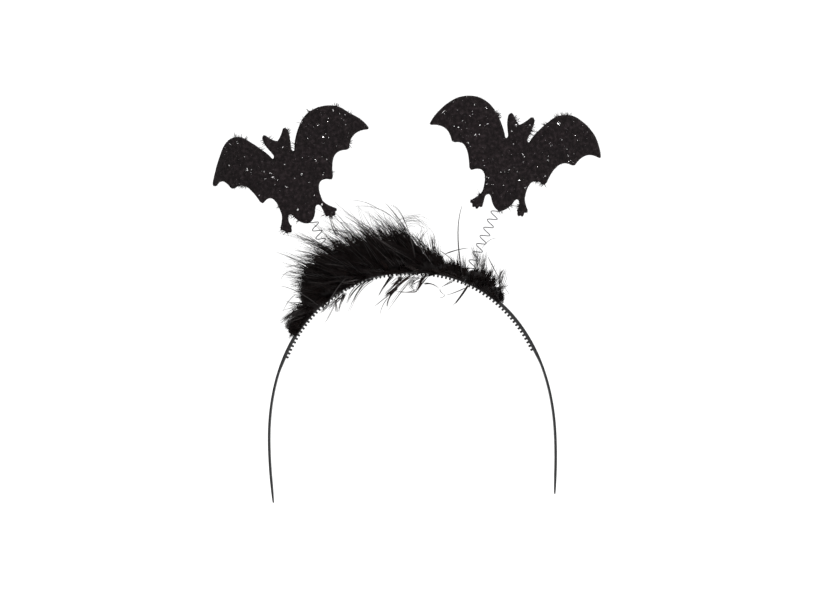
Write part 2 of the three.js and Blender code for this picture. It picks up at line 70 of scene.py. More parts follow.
# %% [markdown]
# ## The camera
# The photograph is level and nearly free of perspective, so a long lens stands well back. The
# band in it leans a little, and that lean belongs to the view, not to the band.

# %% Camera
PICTURE_COLUMNS, PICTURE_ROWS = 813, 610
PICTURE_WIDTH = 382.1  # millimetres that the picture spans at the band
CAMERA_DISTANCE = 1500.0
CAMERA_ROLL = math.radians(1.8)
VIEW_CENTRE = np.array([-0.7, 0.0, -14.9])

camera_data = bpy.data.cameras.new("camera")
camera_data.lens = camera_data.sensor_width * CAMERA_DISTANCE / PICTURE_WIDTH
camera_data.clip_start = 0.01
camera_data.clip_end = 50.0
camera = bpy.data.objects.new("camera", camera_data)
camera.location = Vector(VIEW_CENTRE * MM) - Vector((0, CAMERA_DISTANCE * MM, 0))
camera.rotation_euler = (math.pi / 2, CAMERA_ROLL, 0)
bpy.context.scene.collection.objects.link(camera)
bpy.context.scene.camera = camera
bpy.context.scene.view_settings.view_transform = "Standard"


def from_picture(column, row, depth):
    """The point behind a column and row: its offset from the middle, scaled and turned back."""
    scale = PICTURE_WIDTH / PICTURE_COLUMNS * (CAMERA_DISTANCE + depth) / CAMERA_DISTANCE
    right = (np.asarray(column) - PICTURE_COLUMNS / 2) * scale
    up = (PICTURE_ROWS / 2 - np.asarray(row)) * scale
    x = VIEW_CENTRE[0] + right * math.cos(CAMERA_ROLL) + up * math.sin(CAMERA_ROLL)
    z = VIEW_CENTRE[2] - right * math.sin(CAMERA_ROLL) + up * math.cos(CAMERA_ROLL)
    return np.stack([x, depth + 0 * x, z], -1)


print("lens:", round(camera_data.lens, 1), "mm")

# %% [markdown]
# ## From arrays to meshes
# Hairs come in thousands, so a mesh is never filled face by face. The helpers below take whole
# arrays of points and of corner numbers and hand them to Blender in one go. A tube is rings of
# points round a path. A bundle of tubes is the same thing with one more array axis.


# %% Mesh helpers
def unit(vectors):
    """Each vector over its own length."""
    length = np.linalg.norm(vectors, axis=-1, keepdims=True)
    return vectors / np.maximum(length, 1e-12)


def make_piece(name, points, faces, material, body=None, smooth=True, uv=None, shade=None):
    """A mesh object from points in millimetres and a list of (count, corners) index arrays."""
    mesh = bpy.data.meshes.new(name)
    corners = np.concatenate([face.ravel() for face in faces]).astype(np.int32)
    sizes = np.concatenate([np.full(len(face), face.shape[1]) for face in faces])
    starts = np.concatenate([[0], np.cumsum(sizes)[:-1]]).astype(np.int32)
    mesh.vertices.add(len(points))
    mesh.loops.add(len(corners))
    mesh.polygons.add(len(sizes))
    mesh.vertices.foreach_set("co", (points * MM).astype(np.float32).ravel())
    mesh.loops.foreach_set("vertex_index", corners)
    mesh.polygons.foreach_set("loop_start", starts)
    mesh.polygons.foreach_set("use_smooth", np.full(len(sizes), smooth))
    if uv is not None:
        layer = mesh.uv_layers.new(name="surface")
        layer.data.foreach_set("uv", uv[corners].astype(np.float32).ravel())
    if shade is not None:
        layer = mesh.attributes.new("shade", "FLOAT", "POINT")
        layer.data.foreach_set("value", shade.astype(np.float32))
    mesh.update(calc_edges=True)
    mesh.validate()
    mesh.materials.append(material)
    piece = bpy.data.objects.new(name, mesh)
    bpy.context.scene.collection.objects.link(piece)
    if body:
        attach(piece, body)
    triangles = int((sizes - 2).sum())
    print(f"{name}: {len(points)} points, {triangles} triangles")
    return piece


def loft_faces(bundle, rings, sides):
    """Corner numbers of `bundle` closed tubes of `rings` rings of `sides` points, ends capped."""
    grid = np.arange(bundle * rings * sides).reshape(bundle, rings, sides)
    near = grid[:, :-1]
    far = grid[:, 1:]
    walls = np.stack([near, np.roll(near, -1, 2), np.roll(far, -1, 2), far], -1)
    starts = grid[:, 0, ::-1]
    return [walls.reshape(-1, 4), starts.reshape(-1, sides), grid[:, -1].reshape(-1, sides)]


def tube_rings(paths, radii, outwards, sides):
    """Rings round each path: centre + radius (cos a u + sin a v), with u, v and the path square."""
    ahead = unit(np.gradient(paths, axis=1))
    v = unit(np.cross(ahead, outwards))
    u = np.cross(v, ahead)
    turn = np.arange(sides) * 2 * np.pi / sides
    ring = np.cos(turn)[:, None] * u[:, :, None] + np.sin(turn)[:, None] * v[:, :, None]
    return paths[:, :, None] + radii[:, :, None, None] * ring


def smooth_noise(points, scale, seed, waves=7):
    """Soft noise from -1 to 1: a mean of sine waves of about `scale` millimetres, in any way."""
    rng = np.random.default_rng(seed)
    ways = unit(rng.normal(size=(waves, points.shape[-1]))) * rng.uniform(0.6, 1.6, (waves, 1))
    phase = rng.uniform(0, 2 * np.pi, waves)
    return np.sin(points @ ways.T * 2 * np.pi / scale + phase).mean(-1) * 1.6


def joined(*parts):
    """Several (points, faces) as one, with the later corner numbers moved up."""
    points = np.concatenate([part[0] for part in parts])
    shift = np.cumsum([0] + [len(part[0]) for part in parts])
    faces = [face + move for part, move in zip(parts, shift) for face in part[1]]
    return points, faces


print("mesh helpers ready")

# %% [markdown]
# ## Colours and nodes
# A colour is easiest to read as the hex value that a picture editor shows. The shader wants it
# linear, so one function turns it. A second one adds a node with its settings and its links.


# %% Material helpers
def linear(hex_colour):
    """An sRGB hex colour as linear red, green, blue and alpha."""
    channels = np.array([int(hex_colour[i : i + 2], 16) for i in (1, 3, 5)]) / 255
    dark = channels / 12.92
    light = ((channels + 0.055) / 1.055) ** 2.4
    return (*np.where(channels <= 0.04045, dark, light).tolist(), 1.0)


def new_material(name):
    """A material with an empty node tree but for its output, and its principled shader."""
    material = bpy.data.materials.new(name)
    material.use_nodes = True
    tree = material.node_tree
    shader = next(node for node in tree.nodes if node.type == "BSDF_PRINCIPLED")
    print("material:", name)
    return material, tree, shader


def add_node(tree, kind, settings=None, inputs=None):
    """A node of a kind, with its settings, and its inputs as values or as sockets to link."""
    node = tree.nodes.new(kind)
    for key, value in (settings or {}).items():
        setattr(node, key, value)
    for key, value in (inputs or {}).items():
        if isinstance(value, bpy.types.NodeSocket):
            tree.links.new(value, node.inputs[key])
        else:
            node.inputs[key].default_value = value
    return node


def colour_ramp(tree, factor, stops):
    """A ramp node through (place, hex colour) stops."""
    ramp = add_node(tree, "ShaderNodeValToRGB", inputs={"Fac": factor})
    elements = ramp.color_ramp.elements
    while len(elements) < len(stops):
        elements.new(0.5)
    for element, (place, colour) in zip(elements, stops):
        element.position = place
        element.color = linear(colour)
    return ramp


print("material helpers ready")

# %% [markdown]
# ## The arch
# The band is one curve: half an oval that is a little squarer than an ellipse, and two legs
# that draw in towards the tips. Everything on the band is placed by its distance along that
# curve from the crown, by how far it is across, and by how far it stands out.

# %% The arch as a curve
band_low, band_high = node_box("headband")
HALF_WIDTH = (band_high[0] - band_low[0]) / 2
CROWN_LEVEL = band_high[2]
CROWN_HEIGHT = 82.6
ARCH_EXPONENT = 2.18
LEG_DROP = CROWN_LEVEL - CROWN_HEIGHT - band_low[2]
LEG_TUCK = 1.35


def arch_table(count=4001):
    """x = a sin(t)^(2/n), z = b cos(t)^(2/n) down to the widest line, then the drawn-in legs."""
    turn = np.linspace(0, np.pi / 2, count)
    x = HALF_WIDTH * np.sin(turn) ** (2 / ARCH_EXPONENT)
    z = CROWN_HEIGHT * np.maximum(np.cos(turn), 0) ** (2 / ARCH_EXPONENT)
    leg = np.linspace(0, 1, count // 4)[1:]
    x = np.concatenate([x, HALF_WIDTH - LEG_TUCK * leg**2])
    z = np.concatenate([z, -LEG_DROP * leg]) + CROWN_LEVEL - CROWN_HEIGHT
    half = np.stack([x, z], -1)
    whole = np.concatenate([half[:0:-1] * [-1, 1], half])
    step = np.linalg.norm(np.diff(whole, axis=0), axis=1)
    run = np.concatenate([[0], np.cumsum(step)])
    return run - run[-1] / 2, whole


ARCH_RUN, ARCH_POINTS = arch_table()
ARCH_HALF = ARCH_RUN[-1]
ACROSS = np.array([0.0, 1.0, 0.0])


def arch_frame(distance):
    """Place, along and out at each distance from the crown, from the table of the curve."""
    distance = np.asarray(distance, float)
    beside = [(d, k) for d in (-0.2, 0.2) for k in (0, 1)]
    near = [np.interp(distance + d, ARCH_RUN, ARCH_POINTS[:, k]) for d, k in beside]
    x, z = (np.interp(distance, ARCH_RUN, ARCH_POINTS[:, k]) for k in (0, 1))
    zero = np.zeros_like(x)
    along = unit(np.stack([near[2] - near[0], zero, near[3] - near[1]], -1))
    out = np.stack([-along[..., 2], zero, along[..., 0]], -1)
    return np.stack([x, zero, z], -1), along, out


def distance_at(x):
    """The distance along the arch at which it is x sideways, above the widest line."""
    top = slice(*np.searchsorted(ARCH_RUN, [-ARCH_HALF + 30, ARCH_HALF - 30]))
    return np.interp(x, ARCH_POINTS[top, 0], ARCH_RUN[top])


def on_arch(distance, along_by, across_by, out_by):
    """Points beside the arch at each distance."""
    at, along, out = arch_frame(distance)
    return (
        at
        + along * np.asarray(along_by)[..., None]
        + ACROSS * np.asarray(across_by)[..., None]
        + out * np.asarray(out_by)[..., None]
    )


print("arch: half width", round(float(HALF_WIDTH), 1), "half run", round(float(ARCH_HALF), 1), "mm")

# %% [markdown]
# ## The plastic band
# A cheap alice band is moulded in one shot of polystyrene or ABS: black right through, with a
# satin skin that the mould leaves and soft edges where it parts. Its section is a flat strip
# with round corners, swept along the arch. It is widest and thickest where the teeth are, thin
# in the legs, and rounded off at the tips.

# %% Moulded black plastic
# Satin black: the mould leaves slow changes of gloss some 3 mm wide and a grain of half a
# millimetre, so the white room is mirrored softly and a little unevenly. A dark dye takes some of
# the shine that the index of 1.55 would give, so the specular level is below the usual 0.5.
moulded_black, tree, shader = new_material("moulded_black_polystyrene")
place = add_node(tree, "ShaderNodeTexCoord")
skin = add_node(
    tree,
    "ShaderNodeTexNoise",
    inputs={"Vector": place.outputs["Object"], "Scale": 1 / (3 * MM), "Detail": 4.0},
)
tone = colour_ramp(tree, skin.outputs["Fac"], [(0.35, "#08080a"), (0.7, "#131315")])
tree.links.new(tone.outputs["Color"], shader.inputs["Base Color"])
dull = add_node(
    tree,
    "ShaderNodeMapRange",
    inputs={"Value": skin.outputs["Fac"], "To Min": 0.26, "To Max": 0.44},
)
tree.links.new(dull.outputs["Result"], shader.inputs["Roughness"])
grain = add_node(
    tree,
    "ShaderNodeTexNoise",
    inputs={"Vector": place.outputs["Object"], "Scale": 1 / (0.5 * MM), "Detail": 2.0},
)
relief = add_node(
    tree,
    "ShaderNodeBump",
    inputs={"Height": grain.outputs["Fac"], "Strength": 0.15, "Distance": 0.05 * MM},
)
tree.links.new(relief.outputs["Normal"], shader.inputs["Normal"])
shader.inputs["IOR"].default_value = 1.55
shader.inputs["Specular IOR Level"].default_value = 0.34

# %% The band's strip
BAND_WIDTH = 8.0
TIP_WIDTH = 4.6
BAND_THICKNESS = 1.55
LEG_THICKNESS = 1.15
TIP_THICKNESS = 0.55
TIP_TAPER = 9.0
THINNING = 8.0
TOOTH_PITCH = 2.0
TOOTH_DROP = 39.5
CORNER = 0.28

right_half = ARCH_RUN >= 0
drop = CROWN_LEVEL - ARCH_POINTS[right_half, 1]
tooth_run = np.interp(TOOTH_DROP, drop, ARCH_RUN[right_half])


def band_width(distance):
    """Full width, less a cube of the way down, and a half circle at the tip."""
    share = np.abs(distance) / ARCH_HALF
    plain = BAND_WIDTH - (BAND_WIDTH - TIP_WIDTH) * share**3
    end = np.clip((ARCH_HALF - np.abs(distance)) / (TIP_WIDTH / 2), 0, 1)
    return plain * np.maximum(np.sqrt(1 - (1 - end) ** 2), 0.12)


def band_thickness(distance):
    """Full where the teeth are, thinner in the legs, and tapered over the last of each."""
    past = np.clip((np.abs(distance) - tooth_run) / THINNING, 0, 1)
    plain = BAND_THICKNESS - (BAND_THICKNESS - LEG_THICKNESS) * past * past * (3 - 2 * past)
    end = np.clip((ARCH_HALF - np.abs(distance)) / TIP_TAPER, 0, 1)
    return TIP_THICKNESS + (plain - TIP_THICKNESS) * np.sqrt(end)


def strip_section(width, thickness, per_corner=5):
    """A rounded oblong: each corner's centre plus a quarter circle, from one corner to the next."""
    radius = np.minimum(CORNER, thickness * 0.42)[:, None]
    centres = np.array([[1, 1], [1, -1], [-1, -1], [-1, 1]])
    half = np.stack([width / 2, thickness / 2], -1)[:, None] - radius[..., None]
    turn = np.linspace(np.pi / 2, 0, per_corner) - np.arange(4)[:, None] * np.pi / 2
    arc = np.stack([np.cos(turn), np.sin(turn)], -1)
    section = centres[None, :, None] * half[:, :, None] + radius[..., None, None] * arc[None]
    section = section.reshape(len(width), -1, 2)
    section[..., 1] -= thickness[:, None] / 2
    return section


ends = ARCH_HALF - TIP_TAPER * np.linspace(0, 1, 25) ** 2
middle = np.linspace(0, ARCH_HALF - TIP_TAPER, 180)[:-1]
half_run = np.concatenate([middle, ends[::-1]])
stations = np.concatenate([-half_run[:0:-1], half_run])
section = strip_section(band_width(stations), band_thickness(stations))
strip = on_arch(stations[:, None], 0 * section[..., 0], section[..., 0], section[..., 1])
strip_part = (strip.reshape(-1, 3), loft_faces(1, *strip.shape[:2]))
print("strip:", strip.shape)

# %% [markdown]
# The comb teeth are small moulded pegs in two rows inside the arch. One peg is a stack of
# rounded squares that narrows and closes at its tip, and every peg is the same array, set down
# at its own place.

# %% The comb teeth
TOOTH_LENGTH = 0.95
TOOTH_WIDTH = 1.4
TOOTH_HEIGHT = 1.1
TOOTH_INSET = 0.5

gaps = int(tooth_run // TOOTH_PITCH)
tooth_at = np.tile((np.arange(-gaps, gaps) + 0.5) * TOOTH_PITCH, 2)
tooth_row = np.repeat([-1.0, 1.0], 2 * gaps)
rise = np.array([-0.3, 0.0, 0.35, 0.6, 0.8, 0.93, 1.0])
swell = np.array([1.0, 1.0, 0.99, 0.97, 0.92, 0.78, 0.35])
turn = np.linspace(0, 2 * np.pi, 12, endpoint=False)
round_square = np.stack([np.cos(turn), np.sin(turn)], -1)
round_square /= (np.abs(round_square) ** 5).sum(-1, keepdims=True) ** (1 / 5)
across = tooth_row * (band_width(tooth_at) / 2 - TOOTH_INSET - TOOTH_WIDTH / 2)
down = np.where(rise < 0, rise, rise * TOOTH_HEIGHT)
pegs = on_arch(
    tooth_at[:, None, None],
    swell[:, None] * round_square[:, 0] * TOOTH_LENGTH / 2 + 0 * tooth_at[:, None, None],
    across[:, None, None] + swell[:, None] * round_square[:, 1] * TOOTH_WIDTH / 2,
    -BAND_THICKNESS - down[:, None] + 0 * tooth_at[:, None, None] + 0 * turn,
)
peg_faces = [face[:, ::-1] for face in loft_faces(*pegs.shape[:3])]
band_points, band_faces = joined(strip_part, (pegs.reshape(-1, 3), peg_faces))
band = make_piece("band", band_points, band_faces, moulded_black, "band")
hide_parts("headband")

# %% [markdown]
# ## The wire springs
# Each spring is hard-drawn steel wire, wound open. It goes once round the band between two
# teeth, rises as a coil and ends in a straight run that is stuck to the bat's back. The path is
# worked out in the spring's own directions, and the section is a small circle carried along it.
# The coil bends between band and bat when the bat nods.

# %% Drawn steel wire
# Bare spring steel that was pulled through a die: a metal with fine lines along the wire. The real
# lines are hundredths of a millimetre wide, so they are drawn coarser here.
drawn_wire, tree, shader = new_material("drawn_steel_wire")
place = add_node(tree, "ShaderNodeUVMap", {"uv_map": "surface"})
lines = add_node(
    tree,
    "ShaderNodeMapping",
    inputs={"Vector": place.outputs["UV"], "Scale": (0.3, 9.0, 1.0)},
)
draw = add_node(
    tree, "ShaderNodeTexNoise", inputs={"Vector": lines.outputs["Vector"], "Scale": 2.0}
)
tone = colour_ramp(tree, draw.outputs["Fac"], [(0.3, "#343537"), (0.7, "#636466")])
tree.links.new(tone.outputs["Color"], shader.inputs["Base Color"])
dull = add_node(
    tree,
    "ShaderNodeMapRange",
    inputs={"Value": draw.outputs["Fac"], "To Min": 0.28, "To Max": 0.42},
)
tree.links.new(dull.outputs["Result"], shader.inputs["Roughness"])
shader.inputs["Metallic"].default_value = 1.0

# %% [markdown]
# The spring's path has four stretches: the wrap, a short bridge that joins it smoothly to the coil,
# the coil, and the straight end behind the bat. Each is a formula of its own, and they are laid end
# to end. The wire printed below is what one would cut to wind such a spring.

# %% One spring's path
WIRE_RADIUS = 0.225
COIL_RADIUS = 2.075
COIL_PITCH = 4.2
COIL_START = 2.1
WIRE_END = 10.5
WIRE_OVERRUN = 3.0
WIRE_GAP = 0.3
FIRST_ANGLE = math.radians(-50)

# foot: distance along the arch; lean: degrees outwards; reach: up to the pad
SPRINGS = {
    "left": {"hand": -1, "foot": -30.0, "lean": 24.8, "reach": 45.2, "bow": -0.8},
    "right": {"hand": 1, "foot": 28.0, "lean": 26.0, "reach": 48.0, "bow": 0.0},
}


def hermite(start, start_way, end, end_way, count):
    """The cubic that leaves start along start_way and meets end along end_way."""
    t = np.linspace(0, 1, count)[:, None]
    return (
        (2 * t**3 - 3 * t**2 + 1) * start
        + (t**3 - 2 * t**2 + t) * start_way
        + (3 * t**2 - 2 * t**3) * end
        + (t**3 - t**2) * end_way
    )


def spring_path(spring):
    """Wire round the band, a helix, and a straight end, with a way out from the wire's bend."""
    foot, _, out = arch_frame(spring["foot"])
    lean = math.radians(spring["lean"]) * spring["hand"]
    up = np.array([math.sin(lean), 0, math.cos(lean)])
    aside = np.array([math.cos(lean), 0, -math.sin(lean)])
    clear = WIRE_GAP + WIRE_RADIUS
    half_width = band_width(spring["foot"]) / 2 + clear
    half_height = BAND_THICKNESS / 2 + clear
    turn = np.linspace(0.25, 2 * np.pi - 0.35, 70)[:, None]
    wave = np.sign(np.sin(turn)) * np.abs(np.sin(turn)) ** 0.4
    rise = np.sign(np.cos(turn)) * np.abs(np.cos(turn)) ** 0.4
    wrap = foot + ACROSS * half_width * wave + out * (half_height * rise - BAND_THICKNESS / 2)
    wrap_out = ACROSS * np.sin(turn) + out * np.cos(turn)

    part = (np.pi - FIRST_ANGLE) / (2 * np.pi)
    room = spring["reach"] - WIRE_END - COIL_START
    turns = round(room / COIL_PITCH - part) + part
    share = np.linspace(0, 1, int(turns * 30))[:, None]
    angle = FIRST_ANGLE + share * turns * 2 * np.pi
    coil_out = aside * np.cos(angle) + ACROSS * np.sin(angle)
    height = turns * COIL_PITCH
    bow = spring["bow"] * np.sin(np.pi * share)
    coil = foot + up * (COIL_START + share * height) + coil_out * COIL_RADIUS + aside * bow
    leave = coil[1] - coil[0]
    bridge = hermite(wrap[-1], (wrap[-1] - wrap[-2]) * 9, coil[0], leave * 9, 10)
    bridge_out = unit(np.linspace(wrap_out[-1], coil_out[0], 10))

    quarter = np.linspace(0, np.pi / 2, 12)[1:, None]
    top = foot - aside * COIL_RADIUS + up * (COIL_START + height)
    bend = top + up * COIL_RADIUS * (1 - np.cos(quarter)) - ACROSS * COIL_RADIUS * np.sin(quarter)
    rest = spring["reach"] + WIRE_OVERRUN - COIL_START - height - COIL_RADIUS
    straight = np.linspace(0.5, rest, 12)
    end = bend[-1] + up * straight[:, None]
    end_out = np.tile(-aside, (len(bend) + len(end), 1))
    path = np.concatenate([wrap, bridge[1:-1], coil, bend, end])
    return path, np.concatenate([wrap_out, bridge_out[1:-1], coil_out, end_out]), up


print("points along a spring:", len(spring_path(SPRINGS["left"])[0]))

# %% Both springs
for side, spring in SPRINGS.items():
    path, outwards, up = spring_path(spring)
    radii = np.full(len(path), WIRE_RADIUS)
    radii[[0, -1]] = WIRE_RADIUS * 0.4
    sides_round = 10
    rings = tube_rings(path[None], radii[None], outwards[None], sides_round)
    run = np.concatenate([[0], np.cumsum(np.linalg.norm(np.diff(path, axis=0), axis=1))])
    print(f"{side} wire, laid straight: {run[-1]:.1f} mm")
    uv = np.stack(np.broadcast_arrays(run[:, None], np.linspace(0, 1, sides_round)), -1)
    coil = make_piece(
        f"{side}_coil",
        rings.reshape(-1, 3),
        loft_faces(1, len(path), sides_round),
        drawn_wire,
        uv=uv.reshape(-1, 2),
    )
    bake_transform(coil)
    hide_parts(f"{side}_spring")

# %% [markdown]
# ## The bats
# Each bat is stamped from a thin foam sheet covered in black tinsel cloth. The outline is a
# table of curves: each row says where a stretch ends and which point it bends towards. The
# sheet's points are the outline, two rows of points just inside it and an even grid. A Delaunay
# triangulation joins them. The sheet is as thick as it is far from its edge, up to its full
# thickness, which gives it a round edge all the way.

# %% The outline table
WING_SPAN = 82.0
BAT_HEIGHT = 51.1
BAT_THICKNESS = 2.5

# part, then end x, end y, bend x, bend y: per cent of half the span and of the height
HALF_OUTLINE = [
    ("between the ears", 0, 38.1, 0, 38.1),
    ("ear, inside", 9.1, 46.5, 4, 40),
    ("ear tip", 14.3, 45, 11.8, 48.9),
    ("ear, outside", 10.6, 26.3, 15.2, 38.6),
    ("neck notch", 14.3, 26.3, 12.4, 21.7),
    ("wing, inner edge", 28.3, 44.8, 19.5, 37.1),
    ("wing, rise", 53.4, 55.2, 39.2, 54.8),
    ("wing, fall", 87, 42.1, 72.2, 55),
    ("wing, outer edge", 100, 23, 97.3, 32),
    ("wing tip", 97.7, 21.7, 99.9, 21.4),
    ("outer scallop", 71.9, 11.9, 79, 26.3),
    ("outer cusp", 66.5, 11.4, 69.3, 10.6),
    ("middle scallop", 44, -8.2, 50.2, 15.2),
    ("inner cusp", 40.3, -10.5, 42, -11.2),
    ("inner scallop", 25, -17.1, 28, -4.8),
    ("flank", 24.2, -26.7, 24.1, -22),
    ("leg, outside", 35.6, -38.1, 26.1, -32.2),
    ("outer toe", 32.9, -41, 37, -40.6),
    ("middle toe", 29.1, -43.2, 32.6, -46),
    ("inner toe", 24.6, -42.4, 26.9, -47.6),
    ("heel", 20.9, -41.7, 21.6, -43.2),
    ("leg, inside", 20, -31.2, 20.7, -35.8),
    ("between leg and tail", 13.2, -31.4, 16.6, -26.7),
    ("tail", 0, -43.1, 8.6, -41.7),
]
# The outer leg of each bat is slimmer and points down
OUTER_LEG = {
    "leg, outside": (30.3, -36.9, 25.2, -31.5),
    "outer toe": (27.6, -40.4, 32.2, -40.6),
    "middle toe": (24.2, -43.6, 27.4, -46.4),
    "inner toe": (19.6, -40.6, 20.2, -46.6),
    "heel": (19.2, -38.2, 17.4, -39.5),
    "leg, inside": (19.1, -33.2, 20, -35.8),
}


def half_curve(rows, hand, steps=14):
    """Quadratic curves end to end: (1-t)^2 from + 2t(1-t) bend + t^2 to, for every row at once."""
    scale = np.array([hand * WING_SPAN / 200, BAT_HEIGHT / 100])
    ends = rows[:, :2] * scale
    bends = rows[1:, 2:] * scale
    t = np.linspace(0, 1, steps, endpoint=False)[None, :, None]
    start, finish = ends[:-1, None], ends[1:, None]
    curve = (1 - t) ** 2 * start + 2 * t * (1 - t) * bends[:, None] + t**2 * finish
    return np.concatenate([curve.reshape(-1, 2), ends[-1:]])


def bat_outline(hand, spacing=0.42):
    """Both halves as one closed line, counter-clockwise, with points an even distance apart."""
    inner = np.array([row[1:] for row in HALF_OUTLINE], float)
    outer = np.array([OUTER_LEG.get(row[0], row[1:]) for row in HALF_OUTLINE], float)
    right, left = (outer, inner) if hand > 0 else (inner, outer)
    line = np.concatenate([half_curve(left, -1), half_curve(right, 1)[-2::-1]])
    run = np.concatenate([[0], np.cumsum(np.linalg.norm(np.diff(line, axis=0), axis=1))])
    even = np.linspace(0, run[-1], int(run[-1] / spacing), endpoint=False)
    return np.stack([np.interp(even, run, line[:, k]) for k in (0, 1)], -1)


def edge_distance(points, line):
    """How far each point is from a closed line, negative outside it (even-odd crossings)."""
    nxt = np.roll(line, -1, 0)
    edge = nxt - line
    rel = points[:, None] - line
    share = np.clip((rel * edge).sum(-1) / (edge**2).sum(-1), 0, 1)
    near = np.linalg.norm(rel - share[..., None] * edge, axis=-1).min(1)
    low, high = line[:, 1], nxt[:, 1]
    spans = (low[None] > points[:, 1:]) != (high[None] > points[:, 1:])
    rise = np.where(high == low, 1e-9, high - low)
    at = line[:, 0] + (points[:, 1:] - low) / rise * edge[:, 0]
    inside = (spans & (points[:, :1] < at)).sum(1) % 2 == 1
    return np.where(inside, near, -near)


print("outline rows:", len(HALF_OUTLINE))

# %% [markdown]
# The left bat's outer wing has curled away from the eye about a slanting line. Foam and cloth roll
# without stretching, so a point keeps its distance along the sheet and only goes round a circle.

# %% The left bat's bent wing
CURL_TILT = math.radians(23)
CURL_RADIUS = 23.4
CURL_START = 14.72


def bend_wing(points, ahead):
    """Past the line the sheet follows a circle: along it R sin a, back from it R (1 - cos a)."""
    way = np.array([-math.cos(CURL_TILT), math.sin(CURL_TILT)])
    past = np.maximum(points @ way - CURL_START, 0)
    angle = past / CURL_RADIUS
    shift = (CURL_RADIUS + ahead) * np.sin(angle) - past
    back = CURL_RADIUS - (CURL_RADIUS + ahead) * np.cos(angle)
    flat = points + way * shift[:, None]
    return np.stack([flat[:, 0], back, flat[:, 1]], -1)


# lean: degrees outwards; above and aside: the bat's middle from its pad, in millimetres
BATS = {
    "left": {"hand": -1, "lean": 17.7, "above": 10.1, "aside": 0.0, "bent": True, "seed": 11},
    "right": {"hand": 1, "lean": 13.1, "above": 9.7, "aside": 1.64, "bent": False, "seed": 12},
}


def bat_place(side):
    """Where the bat's middle is, and its sideways and upward directions."""
    bat = BATS[side]
    pad_low, pad_high = node_box(f"{side}_pad")
    front = node_box("right_bat")[0][1] + BAT_THICKNESS / 2
    lean = math.radians(bat["lean"]) * bat["hand"]
    right = np.array([math.cos(lean), 0, -math.sin(lean)])
    up = np.array([math.sin(lean), 0, math.cos(lean)])
    pad = (pad_low + pad_high) / 2
    middle = np.array([pad[0], front, pad[2]]) + right * bat["aside"] + up * bat["above"]
    return middle, right, up


# No two stamped bats are alike. Column and row in the picture, and how far the cloth is moved
# there from where the shared outline would put it, in columns and rows
NUDGES = {
    "left": [
        (365, 128, 4.0, -0.4), (326, 106, 3.1, -1.2), (297, 132, 1.0, 0), (292, 152, 1.2, -1.6),
        (284, 129, 1.2, -1.0), (265, 136, -1.2, 0.2), (272, 160, 1.2, -1.0), (255, 144, 0, 0),
        (237, 139, 0, -2.1), (225, 144, 1.2, -1.5), (217, 157, 2.9, 0), (215, 170, 0.8, 0),
        (215, 188, -1.2, -3.5), (222, 183, 0.6, -1.9), (231, 189, 2.9, -1.2), (241, 187, 2.2, 0),
        (261, 203, 2.5, 0), (270, 198, 1.5, -1.2), (277, 208, 1.0, 0), (280, 227, 0, 0),
        (285, 232, 1.5, -0.5), (290, 230, 3.1, 0), (291, 216, 0.9, -1.6), (307, 224, 2.7, -1.9),
        (316, 205, 2.2, -0.6), (334, 210, 1.9, -1.5), (328, 218, 2.5, -1.5), (317, 185, 1.2, -0.6),
        (329, 178, 3.1, 0), (330, 165, 3.0, 0), (345, 147, 3.8, 0.6), (347, 137, 3.5, 0.4),
    ],
    "right": [
        (431, 123, 0, 0), (469, 96, -1.0, -0.5), (495, 112, 0, 0), (505, 137, 1.0, 1.2),
        (511, 112, 0.4, 1.0), (519, 124, 0, 0.5), (531, 116, 2.5, 1.6), (526, 141, 2.2, 1.2),
        (541, 127, 3.1, 1.2), (565, 115, 2.5, 0.3), (588, 124, 0.6, 1.0), (601, 158, -0.6, -0.5),
        (573, 164, 0, 0.6), (565, 162, 0.6, 1.2), (544, 183, 0.6, 1.8), (537, 180, -1.2, 1.9),
        (529, 189, -1.2, 0.5), (529, 209, -1.2, 0), (522, 216, -1.9, 0), (518, 199, -0.6, 0.6),
        (504, 211, -2.5, 0.4), (491, 192, -1.9, 1.5), (478, 207, -1.5, 0.6), (472, 199, -1.6, 0.6),
        (486, 172, -0.5, 0), (472, 168, -2.5, 1.2), (471, 155, -2.2, 0.8), (452, 140, 0, 1.2),
        (445, 127, 0, 0.5),
    ],
}
NUDGE_REACH = 3.6
NUDGE_REST = 0.12


def nudged(side, points):
    """Each point moved by the weighted mean of the nudges, with weights exp(-d^2 / (2 reach^2))."""
    table = np.array(NUDGES[side], float)
    depth = points[:, 1].mean()
    before = from_picture(table[:, 0], table[:, 1], depth)
    after = from_picture(table[:, 0] + table[:, 2], table[:, 1] + table[:, 3], depth)
    gap = points[:, None, ::2] - before[None, :, ::2]
    weight = np.exp(-(gap**2).sum(-1) / (2 * NUDGE_REACH**2))
    return points + weight @ (after - before) / (weight.sum(1, keepdims=True) + NUDGE_REST)


def lay_on_bat(side, points, ahead):
    """Points of the flat outline, and how far each is ahead of the sheet's middle, in place."""
    bat = BATS[side]
    if bat["bent"]:
        local = bend_wing(points, ahead)
    else:
        local = np.stack([points[:, 0], -ahead, points[:, 1]], -1)
    middle, right, up = bat_place(side)
    placed = middle + local[:, :1] * right + local[:, 1:2] * ACROSS + local[:, 2:] * up
    return nudged(side, placed)


def half_thickness(depth):
    """A quarter circle in from the edge: h = T/2 sqrt(1 - (1 - d/r)^2)."""
    share = np.clip(depth / (BAT_THICKNESS * 0.5), 0, 1)
    return BAT_THICKNESS / 2 * np.sqrt(1 - (1 - share) ** 2)


